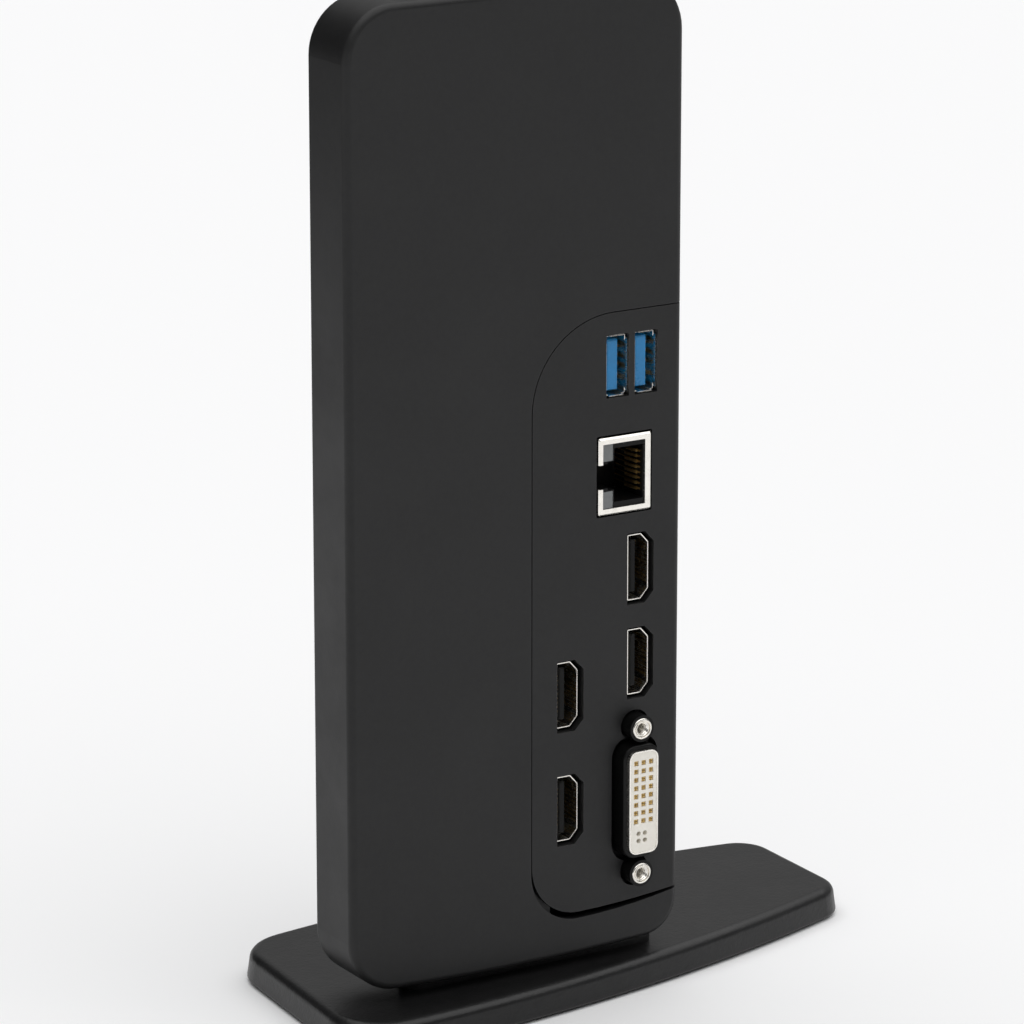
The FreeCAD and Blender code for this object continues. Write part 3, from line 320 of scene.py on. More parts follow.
def moulded_plastic(name, colour, rough, grain_scale=1.0, relief=1.0, specular=0.5):
    """Textured opaque plastic, a little polished along its edges, where a painted highlight also
    brightens its colour.
    """
    look = bpy.context.scene.dock_housing
    material, graph, shader = start_material(name)
    grain = graph.group("grain", Size=look.grain_size * grain_scale)
    wear_highlight_node = graph.group("wear_highlight", Radius=look.edge_width)
    haze = graph.group("haze", Scale=34.0, Low=rough[0], High=rough[1])
    tint = graph.between(grain.outputs["Speckle"], 0.3, 0.7, 0.0, 1.0)
    darker = [channel * 0.80 for channel in colour]
    brighter = [channel * 1.25 for channel in colour]
    shade = graph.blend(tint, darker, brighter)
    # Painted edge highlight: the colour is brightened along edges, broken up by noise.
    shade = graph.blend(graph.math("MULTIPLY", wear_highlight_node.outputs["Mask"], 0.6), shade, look.edge_highlight_colour)
    dust = graph.group("dust", Amount=look.dust_amount)
    shade = graph.blend(dust.outputs["Mask"], shade, look.dust_colour)
    graph.feed(shader.inputs["Base Color"], shade)
    polish = graph.math("MULTIPLY", wear_highlight_node.outputs["Mask"], 0.10)
    graph.feed(shader.inputs["Roughness"], graph.math("SUBTRACT", haze.outputs["Roughness"], polish))
    bump = graph.add("Bump", {"Height": grain.outputs["Height"], "Strength": 1.0,
                              "Distance": look.grain_depth * relief})
    graph.feed(shader.inputs["Normal"], bump.outputs["Normal"])
    shader.inputs["Specular IOR Level"].default_value = specular
    return material


def smooth_plastic(name, colour, rough, specular=0.5, mottle=0.12):
    """Glossier insulating plastic with faint flow marks."""
    material, graph, shader = start_material(name)
    haze = graph.group("haze", Scale=160.0, Low=rough[0], High=rough[1])
    lines = graph.group("lines", Scale=1400.0, Stretch=0.3)
    darker = [channel * (1.0 - mottle) for channel in colour]
    brighter = [min(channel * (1.0 + mottle), 1.0) for channel in colour]
    graph.feed(shader.inputs["Base Color"], graph.blend(haze.outputs["Mask"], darker, brighter))
    graph.feed(shader.inputs["Roughness"], haze.outputs["Roughness"])
    bump = graph.add("Bump", {"Height": lines.outputs["Height"], "Strength": 0.35, "Distance": 0.00002})
    graph.feed(shader.inputs["Normal"], bump.outputs["Normal"])
    shader.inputs["Specular IOR Level"].default_value = specular
    return material


def plated_metal(name, colour, rough, tarnish, stretch=0.05, line_depth=0.004):
    """Plated or bare metal with drawn lines, and duller where it is tarnished."""
    material, graph, shader = start_material(name)
    haze = graph.group("haze", Scale=420.0, Low=rough[0], High=rough[1])
    lines = graph.group("lines", Scale=5200.0, Stretch=stretch)
    wear_highlight_node = graph.group("wear_highlight", Radius=0.00012, Breakup=2500.0)
    dull = graph.math("MULTIPLY", haze.outputs["Mask"], 0.35)
    shade = graph.blend(dull, colour, tarnish)
    rubbed = [min(channel * 1.2, 1.0) for channel in colour]
    shade = graph.blend(graph.math("MULTIPLY", wear_highlight_node.outputs["Mask"], 0.3), shade, rubbed)
    graph.feed(shader.inputs["Base Color"], shade)
    streak = graph.math("MULTIPLY", lines.outputs["Mask"], 0.06)
    graph.feed(shader.inputs["Roughness"], graph.math("ADD", haze.outputs["Roughness"], streak))
    bump = graph.add("Bump", {"Height": lines.outputs["Height"], "Strength": 0.6,
                              "Distance": line_depth * MM})
    graph.feed(shader.inputs["Normal"], bump.outputs["Normal"])
    shader.inputs["Metallic"].default_value = 1.0
    return material


def frosted_plastic(name, colour, rough):
    """Translucent light guide."""
    material, graph, shader = start_material(name)
    haze = graph.group("haze", Scale=500.0, Low=rough[0], High=rough[1])
    grain = graph.group("grain", Size=0.00012)
    tint = graph.blend(grain.outputs["Speckle"], [c * 0.8 for c in colour], colour)
    graph.feed(shader.inputs["Base Color"], tint)
    graph.feed(shader.inputs["Roughness"], haze.outputs["Roughness"])
    bump = graph.add("Bump", {"Height": grain.outputs["Height"], "Strength": 0.5, "Distance": 0.00003})
    graph.feed(shader.inputs["Normal"], bump.outputs["Normal"])
    shader.inputs["Transmission Weight"].default_value = 0.55
    shader.inputs["IOR"].default_value = 1.49
    return material


def soft_rubber(name, colour, rough):
    """Matt elastomer with a dusty bloom."""
    material, graph, shader = start_material(name)
    grain = graph.group("grain", Size=0.0005)
    haze = graph.group("haze", Scale=120.0, Low=rough[0], High=rough[1])
    bloom = [min(channel * 2.2, 1.0) for channel in colour]
    shade = graph.blend(graph.math("MULTIPLY", haze.outputs["Mask"], 0.5), colour, bloom)
    graph.feed(shader.inputs["Base Color"], shade)
    graph.feed(shader.inputs["Roughness"], haze.outputs["Roughness"])
    bump = graph.add("Bump", {"Height": grain.outputs["Height"], "Strength": 0.8, "Distance": 0.00003})
    graph.feed(shader.inputs["Normal"], bump.outputs["Normal"])
    shader.inputs["Specular IOR Level"].default_value = 0.3
    return material


def circuit_board(name):
    """Solder mask over copper tracks, with bare laminate showing at the edges."""
    material, graph, shader = start_material(name)
    place = graph.object_place()
    turned = graph.add("Mapping", {"Vector": place, "Rotation": (math.pi / 2, 0, 0)})
    tracks = graph.add("TexBrick", {"Vector": turned.outputs["Vector"], "Scale": 150.0,
                                    "Mortar Size": 0.10, "Mortar Smooth": 0.2,
                                    "Brick Width": 1.3, "Row Height": 0.16})
    copper = graph.math("SUBTRACT", 1.0, tracks.outputs["Fac"])
    haze = graph.group("haze", Scale=90.0, Low=0.32, High=0.44)
    shade = graph.blend(copper, (0.004, 0.020, 0.010), (0.008, 0.045, 0.020))
    wear_highlight_node = graph.group("wear_highlight", Radius=0.0003)
    shade = graph.blend(graph.math("MULTIPLY", wear_highlight_node.outputs["Mask"], 0.7), shade, (0.20, 0.17, 0.08))
    graph.feed(shader.inputs["Base Color"], shade)
    graph.feed(shader.inputs["Roughness"], haze.outputs["Roughness"])
    bump = graph.add("Bump", {"Height": copper, "Strength": 0.6, "Distance": 0.00004})
    graph.feed(shader.inputs["Normal"], bump.outputs["Normal"])
    return material


def finishes():
    """Every material, by the name of the slot that it serves."""
    housing = bpy.context.scene.dock_housing
    sockets = bpy.context.scene.dock_sockets
    made = bpy.data.materials
    recipes = {
        "tower_plastic": (moulded_plastic, housing.tower_colour, (0.44, 0.52), 1.0, 1.5, 0.41),
        "panel_plastic": (moulded_plastic, housing.panel_colour, (0.44, 0.52), 0.8, 1.5, 0.41),
        "base_plastic": (moulded_plastic, housing.base_colour, (0.32, 0.40), 1.8, 8.0, 0.42),
        "button_plastic": (moulded_plastic, housing.tower_colour, (0.30, 0.38), 0.6),
        "socket_black": (smooth_plastic, sockets.black_colour, (0.34, 0.44), 0.2),
        "blue_plastic": (smooth_plastic, sockets.blue_colour, (0.26, 0.34)),
        "ivory_plastic": (smooth_plastic, sockets.ivory_colour, (0.36, 0.46), 0.4, 0.04),
        "clear_plastic": (frosted_plastic, (0.40, 0.42, 0.42), (0.12, 0.24)),
        "nickel": (plated_metal, sockets.nickel_colour, (0.18, 0.26), (0.74, 0.71, 0.65)),
        "gold_contact": (plated_metal, sockets.gold_colour, (0.28, 0.38), (0.30, 0.20, 0.09)),
        "screw_steel": (plated_metal, (0.10, 0.10, 0.105), (0.32, 0.44), (0.05, 0.05, 0.05)),
        "ballast_steel": (plated_metal, (0.42, 0.42, 0.41), (0.40, 0.55),
                          (0.22, 0.18, 0.14), 0.4),
        "sink_aluminium": (plated_metal, (0.66, 0.67, 0.68), (0.34, 0.44),
                           (0.50, 0.50, 0.50), 0.02),
        "can_aluminium": (plated_metal, (0.74, 0.74, 0.75), (0.24, 0.34),
                          (0.55, 0.55, 0.55), 0.3),
        "chip_plastic": (smooth_plastic, (0.018, 0.018, 0.019), (0.48, 0.60)),
        "circuit_board": (circuit_board,),
        "pad_rubber": (soft_rubber, (0.22, 0.26, 0.30), (0.62, 0.75)),
        "foot_rubber": (soft_rubber, (0.020, 0.020, 0.020), (0.66, 0.82)),
    }
    for name, (recipe, *settings) in recipes.items():
        title = "dock_" + name
        if title not in made:
            recipe(title, *settings)
    return {name: made["dock_" + name] for name in recipes}


# ---------------------------------------------------------------- meshes
LIP_EASE = 0.24
LEAST_ARC = 0.02 * MM
STRIP_SHOULDER = 0.86


def loft(bm, rings, closed=True, ends=False):
    """Quads between rings of equal length; closed joins each ring's end to its start."""
    rows = [[bm.verts.new(point) for point in ring] for ring in rings]
    count = len(rows[0])
    last = count if closed else count - 1
    for first, second in zip(rows, rows[1:]):
        for index in range(last):
            after = (index + 1) % count
            bm.faces.new((first[index], first[after], second[after], second[index]))
    if ends:
        bm.faces.new(rows[0][::-1])
        bm.faces.new(rows[-1])
    return rows


def join_rows(bm, first, second, closed=True):
    count = len(first)
    for index in range(count if closed else count - 1):
        after = (index + 1) % count
        bm.faces.new((first[index], first[after], second[after], second[index]))


def rounded_outline(corners, inset, radius, steps=5):
    """Convex outline of (x, z) points, counter-clockwise, drawn in by inset, with round corners."""
    points = [Vector(corner) for corner in corners]
    count = len(points)
    outline = []
    for index in range(count):
        before, here, after = points[index - 1], points[index], points[(index + 1) % count]
        along_in = (here - before).normalized()
        along_out = (after - here).normalized()
        inward_in = Vector((-along_in.y, along_in.x))
        turn = math.atan2(along_in.x * along_out.y - along_in.y * along_out.x, along_in.dot(along_out))
        corner = here + inward_in * inset + along_in * (inset * -math.tan(turn / 2.0))
        arc_radius = max(radius - inset, LEAST_ARC)
        reach = arc_radius * math.tan(turn / 2.0)
        centre = corner - along_in * reach + inward_in * arc_radius
        start = math.atan2(-inward_in.y, -inward_in.x)
        for step in range(steps + 1):
            angle = start + turn * step / steps
            outline.append((centre.x + arc_radius * math.cos(angle),
                            centre.y + arc_radius * math.sin(angle)))
    return outline


def sheet_tube(bm, corners, front, back, thickness, radius, lip_steps):
    """Drawn metal tube along Y: outer wall, flat lip with eased edges, inner wall, back rim."""
    ease = thickness * LIP_EASE
    outer = []
    inner = []
    for step in range(lip_steps + 1):
        angle = math.pi / 2.0 * step / lip_steps
        outer.append((ease - ease * math.cos(angle), front + ease - ease * math.sin(angle)))
        inner.append((thickness - ease + ease * math.sin(angle), front + ease - ease * math.cos(angle)))
    rings = [(0.0, back)] + outer + inner + [(thickness, back)]
    loops = [[(x, y, z) for x, z in rounded_outline(corners, inset, radius)] for inset, y in rings]
    rows = loft(bm, loops)
    join_rows(bm, rows[-1], rows[0])


def box_corners(low, high):
    """The (x, z) corners of a box seen from the front, counter-clockwise."""
    return [(low.x, low.z), (high.x, low.z), (high.x, high.z), (low.x, high.z)]


def tube(bm, points, radius, sides=8):
    """Round wire along a list of points."""
    path = [Vector(point) for point in points]
    side = Vector((0.0, 0.0, 1.0))
    rings = []
    for index, point in enumerate(path):
        ahead = path[min(index + 1, len(path) - 1)]
        behind = path[max(index - 1, 0)]
        along = (ahead - behind).normalized()
        side = (side - along * side.dot(along))
        if side.length < 1e-6:
            side = along.orthogonal()
        side.normalize()
        other = along.cross(side)
        ring = []
        for step in range(sides):
            angle = 2.0 * math.pi * step / sides
            ring.append(point + (side * math.cos(angle) + other * math.sin(angle)) * radius)
        rings.append(ring)
    loft(bm, rings, ends=True)


def ribbon(bm, points, width_axis, width, thickness):
    """Flat strip along a list of points, with its width along one axis."""
    path = [Vector(point) for point in points]
    wide = Vector(width_axis).normalized() * width / 2.0
    rings = []
    for index, point in enumerate(path):
        along = (path[min(index + 1, len(path) - 1)] - path[max(index - 1, 0)]).normalized()
        thick = along.cross(wide).normalized() * thickness / 2.0
        flat = wide * STRIP_SHOULDER
        rings.append([point + flat + thick, point - flat + thick, point - wide,
                      point - flat - thick, point + flat - thick, point + wide])
    loft(bm, rings, ends=True)


def revolve(bm, centre, profile, segments, along=(0.0, 1.0, 0.0)):
    """Rings about an axis; profile lists (distance along it, radius or function of the angle)."""
    axis = Vector(along)
    side = axis.orthogonal().normalized()
    other = axis.cross(side)
    rings = []
    for distance, radius in profile:
        ring = []
        for step in range(segments):
            angle = 2.0 * math.pi * step / segments
            reach = radius(angle) if callable(radius) else radius
            outward = side * math.cos(angle) + other * math.sin(angle)
            ring.append(centre + axis * distance + outward * reach)
        rings.append(ring)
    return loft(bm, rings)


def front_block(bm, low, high, chamfer):
    """Block whose front face, the one with the lowest y, has chamfered edges."""
    rings = []
    for inset, y in ((0.0, high[1]), (0.0, low[1] + chamfer), (chamfer, low[1])):
        rings.append([(low[0] + inset, y, low[2] + inset), (high[0] - inset, y, low[2] + inset),
                      (high[0] - inset, y, high[2] - inset), (low[0] + inset, y, high[2] - inset)])
    loft(bm, rings, ends=True)


SMOOTH_ANGLE = math.radians(32.0)


def make_piece(name, bm, slot_name, body, replaced=()):
    """Turns a finished bmesh into a piece that rides on its body."""
    bmesh.ops.recalc_face_normals(bm, faces=bm.faces)
    mesh = bpy.data.meshes.new(name)
    bm.to_mesh(mesh)
    bm.free()
    mesh.shade_smooth()
    mesh.set_sharp_from_angle(angle=SMOOTH_ANGLE)
    piece = bpy.data.objects.new(name, mesh)
    bpy.context.scene.collection.objects.link(piece)
    mesh.materials.append(finishes()[slot_name])
    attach(piece, body)
    if replaced:
        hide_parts(*replaced)
    return piece


def dress(names, slot_name):
    """Gives CAD nodes their finished material."""
    material = finishes()[slot_name]
    for name in names:
        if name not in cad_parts:
            raise RuntimeError("the frame has no node named " + name)
        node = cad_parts[name]
        node.data.materials.clear()
        node.data.materials.append(material)


# ---------------------------------------------------------------- pieces
class DOCK_OT_tower(bpy.types.Operator):
    """Finish the tower's shell, back cover and port panel"""
    bl_idname = "dock.tower"
    bl_label = "Tower"

    def execute(self, context):
        dress(["port_shell", "back_cover"], "tower_plastic")
        dress(["port_panel"], "panel_plastic")
        return {"FINISHED"}


class DOCK_OT_base(bpy.types.Operator):
    """Finish the base cover, its plate, neck, ballast and feet"""
    bl_idname = "dock.base"
    bl_label = "Base"

    def execute(self, context):
        dress(["base_cover", "base_plate", "stand_neck"], "base_plastic")
        dress(["base_weight"], "ballast_steel")
        dress(["rubber_feet"], "foot_rubber")
        return {"FINISHED"}


class DOCK_OT_usb_sockets(bpy.types.Operator):
    """Form the fast sockets' shells and finish their tongues and contacts"""
    bl_idname = "dock.usb_sockets"
    bl_label = "USB sockets"

    TAB_LENGTH = 0.8 * MM
    TAB_INSET = 0.85 * MM
    TAB_FLARE = 0.10 * MM
    TAB_OVERLAP = 1.1
    TAB_SINK = 0.02 * MM
    TAB_STEPS = 5
    CORNER_RADIUS = 0.5 * MM
    SPRING_OFFSET = 3.1 * MM
    SPRING_BULGE = 0.55
    SPRING_START = 1.6
    SPRING_RUN = 5.4
    SPRING_SKEW = 1.15
    SPRING_STEPS = 8
    SPRING_WIDTH = 1.5 * MM
    SPRING_THICKNESS = 0.2 * MM

    def execute(self, context):
        look = context.scene.dock_sockets
        for number in (1, 2):
            name = "usb_a_%d" % number
            low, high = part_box(name + "_shell")
            bm = bmesh.new()
            sheet_tube(bm, box_corners(low, high), low.y + self.TAB_LENGTH, high.y,
                       look.sheet_thickness, self.CORNER_RADIUS, look.lip_steps)
            self.add_flared_tabs(bm, low, high, look.sheet_thickness)
            self.add_leaf_springs(bm, low, high, look.sheet_thickness)
            make_piece(name + "_drawn_shell", bm, "nickel", DOCK, [name + "_shell"])
            dress([name + "_tongue"], "blue_plastic")
            dress([name + "_contacts"], "gold_contact")
        return {"FINISHED"}

    def add_flared_tabs(self, bm, low, high, thickness):
        """One tab on each wall's front edge, bent outwards a little; the corners stay open."""
        middle = (low + high) / 2.0
        half = (high - low) / 2.0
        for side in (-1, 1):
            walls = ((Vector((side, 0, 0)), Vector((0, 0, 1))),
                     (Vector((0, 0, side)), Vector((1, 0, 0))))
            for out, wide in walls:
                wall = middle + out * (abs(out.dot(half)) - thickness / 2.0)
                width = 2.0 * (abs(wide.dot(half)) - self.TAB_INSET)
                points = []
                for step in range(self.TAB_STEPS + 1):
                    share = step / self.TAB_STEPS
                    y = low.y + self.TAB_LENGTH * self.TAB_OVERLAP * (1.0 - share) + self.TAB_SINK
                    points.append((wall.x + out.x * self.TAB_FLARE * share ** 2, y,
                                   wall.z + out.z * self.TAB_FLARE * share ** 2))
                ribbon(bm, points, wide, width, thickness)

    def add_leaf_springs(self, bm, low, high, thickness):
        """Two sprung leaves pressed out of the right wall."""
        wall = high.x - thickness * 0.6
        middle = (low.z + high.z) / 2.0
        for side in (-1, 1):
            z = middle + side * self.SPRING_OFFSET
            points = []
            for step in range(self.SPRING_STEPS + 1):
                share = step / self.SPRING_STEPS
                swell = math.sin(math.pi * min(share * self.SPRING_SKEW, 1.0))
                along = self.SPRING_START + self.SPRING_RUN * share
                points.append((wall - swell * self.SPRING_BULGE * MM, low.y + along * MM, z))
            ribbon(bm, points, (0.0, 0.0, 1.0), self.SPRING_WIDTH, self.SPRING_THICKNESS)


class DOCK_OT_hdmi_sockets(bpy.types.Operator):
    """Form the four display sockets' shells and finish their insulators and contacts"""
    bl_idname = "dock.hdmi_sockets"
    bl_label = "HDMI sockets"

    CHAMFER = (2.0 * MM, 2.2 * MM)
    CORNER_RADIUS = 0.4 * MM

    def corners(self, low, high):
        step_x, step_z = self.CHAMFER
        return [(low.x, low.z), (high.x - step_x, low.z), (high.x, low.z + step_z),
                (high.x, high.z - step_z), (high.x - step_x, high.z), (low.x, high.z)]

    def execute(self, context):
        look = context.scene.dock_sockets
        for number in (1, 2, 3, 4):
            name = "hdmi_%d" % number
            low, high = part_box(name + "_shell")
            bm = bmesh.new()
            sheet_tube(bm, self.corners(low, high), low.y, high.y, look.sheet_thickness,
                       self.CORNER_RADIUS, look.lip_steps)
            make_piece(name + "_drawn_shell", bm, "nickel", DOCK, [name + "_shell"])
            dress([name + "_insulator"], "socket_black")
            dress([name + "_contacts"], "gold_contact")
        return {"FINISHED"}


class DOCK_OT_network_socket(bpy.types.Operator):
    """Finish the network socket and bend its eight spring strips"""
    bl_idname = "dock.network_socket"
    bl_label = "Network socket"

    STRIPS = 8
    STRIP_PITCH = 1.2 * MM
    STRIP_THICKNESS = 0.22 * MM
    STRIP_PATH = [(4.55, 2.9), (4.48, 2.35), (4.3, 2.2), (4.1, 2.6), (3.95, 3.6), (3.8, 4.8),
                  (3.7, 6.2)]
    TAIL_X = 4.55 * MM
    TAIL_START = 1.6 * MM
    TAIL_RADIUS = 0.2 * MM

    def execute(self, context):
        look = context.scene.dock_sockets
        dress(["rj45_shell"], "nickel")
        dress(["rj45_body"], "socket_black")
        dress(["rj45_light_pipes"], "clear_plastic")
        low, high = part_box("rj45_shell")
        middle_x = (low.x + high.x) / 2.0
        middle_z = (low.z + high.z) / 2.0
        tail_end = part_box("rj45_contacts")[1].y
        bm = bmesh.new()
        for index in range(self.STRIPS):
            z = middle_z + (index - (self.STRIPS - 1) / 2.0) * self.STRIP_PITCH
            points = [(middle_x + x * MM, low.y + y * MM, z) for x, y in self.STRIP_PATH]
            ribbon(bm, points, (0.0, 0.0, 1.0), look.strip_width, self.STRIP_THICKNESS)
            tail_x = middle_x + self.TAIL_X
            tail = [(tail_x, low.y + self.TAIL_START, z), (tail_x, tail_end, z)]
            tube(bm, tail, self.TAIL_RADIUS)
        make_piece("rj45_spring_wires", bm, "gold_contact", DOCK, ["rj45_contacts"])
        return {"FINISHED"}


class DOCK_OT_dvi_socket(bpy.types.Operator):
    """Form the wide display socket's rim and split contacts, and cut its jackscrews"""
    bl_idname = "dock.dvi_socket"
    bl_label = "DVI socket"

    RIM_THICKNESS = 0.35 * MM
    RIM_CORNER = 1.9 * MM
    PITCH = 1.91 * MM
    COLUMNS = 3
    ROWS = 8
    TOP_ROW = 9.1 * MM
    LEAF = 0.51 * MM
    SLIT = 0.04 * MM
    LEAF_CHAMFER = 0.1 * MM
    CONTACT_SINK = 0.4 * MM
    ROUND_PITCH = 1.64 * MM
    ROUND_DROP = 2.85 * MM
    ROUND_SHIFT = -0.4 * MM
    ROUND_SINK = 2.5 * MM
    ROUND_RADIUS = 0.42 * MM
    ROUND_SIDES = 16
    THREAD_PITCH = 0.635 * MM
    BORE_MINOR = 1.13 * MM
    BORE_MAJOR = 1.40 * MM
    BORE_DEPTH = 5.2 * MM
    THREAD_SAMPLES = 8
    JACK_SEGMENTS = 48
    BARREL_LENGTH = 5.5 * MM
    STEM_RADIUS = 1.4 * MM
    STEM_END = 0.4 * MM
    ROUND_EDGE = 0.35 * MM
    ROUND_EDGE_STEPS = 5
    EDGE_STEP = 0.04 * MM
    GROOVE_OUTER = 1.98 * MM
    GROOVE_INNER = 1.66 * MM
    GROOVE_DEPTH = 0.6 * MM

    def execute(self, context):
        look = context.scene.dock_sockets
        dress(["dvi_housing"], "socket_black")
        dress(["dvi_insulator"], "ivory_plastic")
        low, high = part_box("dvi_shell")
        bm = bmesh.new()
        sheet_tube(bm, box_corners(low, high), low.y, high.y, self.RIM_THICKNESS, self.RIM_CORNER,
                   look.lip_steps)
        make_piece("dvi_drawn_rim", bm, "nickel", DOCK, ["dvi_shell"])
        self.make_contacts(low, high)
        self.make_jackscrews()
        return {"FINISHED"}

    def make_contacts(self, low, high):
        """Square contacts split crosswise into four leaves, and round ones below them."""
        middle_x = (low.x + high.x) / 2.0
        middle_z = (low.z + high.z) / 2.0
        front = low.y + self.CONTACT_SINK
        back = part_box("dvi_contacts")[1].y
        bm = bmesh.new()
        for column in range(self.COLUMNS):
            for row in range(self.ROWS):
                x = middle_x + (column - 1) * self.PITCH
                z = middle_z + self.TOP_ROW - row * self.PITCH
                for side_x in (-1, 1):
                    for side_z in (-1, 1):
                        reach = self.SLIT + self.LEAF
                        xs = sorted((x + side_x * self.SLIT, x + side_x * reach))
                        zs = sorted((z + side_z * self.SLIT, z + side_z * reach))
                        front_block(bm, (xs[0], front, zs[0]), (xs[1], back, zs[1]),
                                    self.LEAF_CHAMFER)
        last = middle_z + self.TOP_ROW - (self.ROWS - 1) * self.PITCH
        for side in (-0.5, 0.5):
            for row in (0, 1):
                x = middle_x + self.ROUND_SHIFT + side * self.ROUND_PITCH
                z = last - self.ROUND_DROP - row * self.ROUND_PITCH
                ends = [(x, low.y + self.ROUND_SINK, z), (x, back, z)]
                tube(bm, ends, self.ROUND_RADIUS, self.ROUND_SIDES)
        make_piece("dvi_split_contacts", bm, "gold_contact", DOCK, ["dvi_contacts"])

    def make_jackscrews(self):
        """Two turned standoffs with grooved faces and threaded bores."""
        low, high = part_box("jackscrews")
        reach = (high.x - low.x) / 2.0
        x = (low.x + high.x) / 2.0
        for number, z in enumerate((low.z + reach, high.z - reach), 1):
            bm = bmesh.new()
            self.cut_jackscrew(bm, Vector((x, low.y, z)), reach, high.y - low.y)
            replaced = ["jackscrews"] if number == 1 else []
            make_piece("dvi_jackscrew_%d" % number, bm, "nickel", DOCK, replaced)

    def cut_jackscrew(self, bm, centre, reach, length):
        """Stem and barrel from the back, the rounded rim, the groove, then the thread."""
        seat = length - self.BARREL_LENGTH
        sink = self.BORE_MAJOR + 0.05 * MM
        rim = self.ROUND_EDGE
        profile = [(length, self.STEM_END), (length, self.STEM_RADIUS), (seat, self.STEM_RADIUS),
                   (seat, reach)]
        for step in range(self.ROUND_EDGE_STEPS + 1):
            angle = math.pi / 2.0 * step / self.ROUND_EDGE_STEPS
            profile.append((rim - rim * math.sin(angle), reach - rim + rim * math.cos(angle)))
        profile += [(0.0, self.GROOVE_OUTER), (0.05 * MM, self.GROOVE_OUTER - self.EDGE_STEP),
                    (self.GROOVE_DEPTH, self.GROOVE_OUTER - self.EDGE_STEP),
                    (self.GROOVE_DEPTH, self.GROOVE_INNER), (0.12 * MM, self.GROOVE_INNER),
                    (0.08 * MM, self.GROOVE_INNER - self.EDGE_STEP),
                    (0.08 * MM, sink + self.EDGE_STEP), (0.12 * MM, sink)]
        turns = int(self.BORE_DEPTH / self.THREAD_PITCH)
        deep = self.BORE_MAJOR - self.BORE_MINOR
        for step in range(turns * self.THREAD_SAMPLES + 1):
            distance = self.ROUND_EDGE + step * self.THREAD_PITCH / self.THREAD_SAMPLES

            def thread(angle, distance=distance):
                phase = (distance / self.THREAD_PITCH + angle / (2.0 * math.pi)) % 1.0
                return self.BORE_MINOR + deep * abs(2.0 * phase - 1.0)
            profile.append((distance, thread))
        profile.append((profile[-1][0] + 0.3 * MM, 0.05 * MM))
        rows = revolve(bm, centre, profile, self.JACK_SEGMENTS)
        bm.faces.new(rows[0][::-1])
        bm.faces.new(rows[-1])


class DOCK_OT_side_sockets(bpy.types.Operator):
    """Finish the power inlet and the host socket on the narrow side"""
    bl_idname = "dock.side_sockets"
    bl_label = "Side sockets"

    def execute(self, context):
        dress(["dc_jack_body", "host_socket_tongue"], "socket_black")
        dress(["dc_jack_contacts", "host_socket_shell"], "nickel")
        dress(["host_socket_contacts"], "gold_contact")
        return {"FINISHED"}


class DOCK_OT_power_button(bpy.types.Operator):
    """Finish the power button and wind its return spring"""
    bl_idname = "dock.power_button"
    bl_label = "Power button"

    COILS = 4.5
    STEPS = 26
    WIRE = 0.4 * MM
    DEAD_TURN = 0.75

    def execute(self, context):
        dress(["power_button"], "button_plastic")
        dress(["tact_switch", "switch_bracket"], "socket_black")
        dress(["light_pipe", "status_led"], "clear_plastic")
        self.wind_spring()
        return {"FINISHED"}

    def wind_spring(self):
        low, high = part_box("button_spring")
        centre = (low + high) / 2.0
        radius = (high.x - low.x) / 2.0 - self.WIRE
        bottom = low.z + self.WIRE / 2.0
        rise = high.z - low.z - self.WIRE
        total = int(self.COILS * self.STEPS)
        points = []
        for step in range(total + 1):
            turn = step / self.STEPS
            angle = turn * 2.0 * math.pi
            climb = (turn - self.DEAD_TURN) / (self.COILS - 2.0 * self.DEAD_TURN)
            points.append((centre.x + radius * math.cos(angle), centre.y + radius * math.sin(angle),
                           bottom + rise * min(max(climb, 0.0), 1.0)))
        bm = bmesh.new()
        tube(bm, points, self.WIRE / 2.0)
        spring = make_piece("button_return_spring", bm, "screw_steel", DOCK, ["button_spring"])
        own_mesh(spring)


class DOCK_OT_fasteners(bpy.types.Operator):
    """Finish the screws and nuts"""
    bl_idname = "dock.fasteners"
    bl_label = "Fasteners"

    def execute(self, context):
        dress(["cover_screws", "base_screws", "neck_screws", "neck_nuts"], "screw_steel")
        return {"FINISHED"}


class DOCK_OT_electronics(bpy.types.Operator):
    """Finish the board and what stands on it"""
    bl_idname = "dock.electronics"
    bl_label = "Electronics"

    def execute(self, context):
        dress(["main_board"], "circuit_board")
        dress(["display_controller", "hub_controller", "ethernet_controller",
               "ethernet_magnetics", "inductors"], "chip_plastic")
        dress(["crystal", "capacitors"], "can_aluminium")
        dress(["heatsink"], "sink_aluminium")
        dress(["thermal_pad"], "pad_rubber")
        return {"FINISHED"}


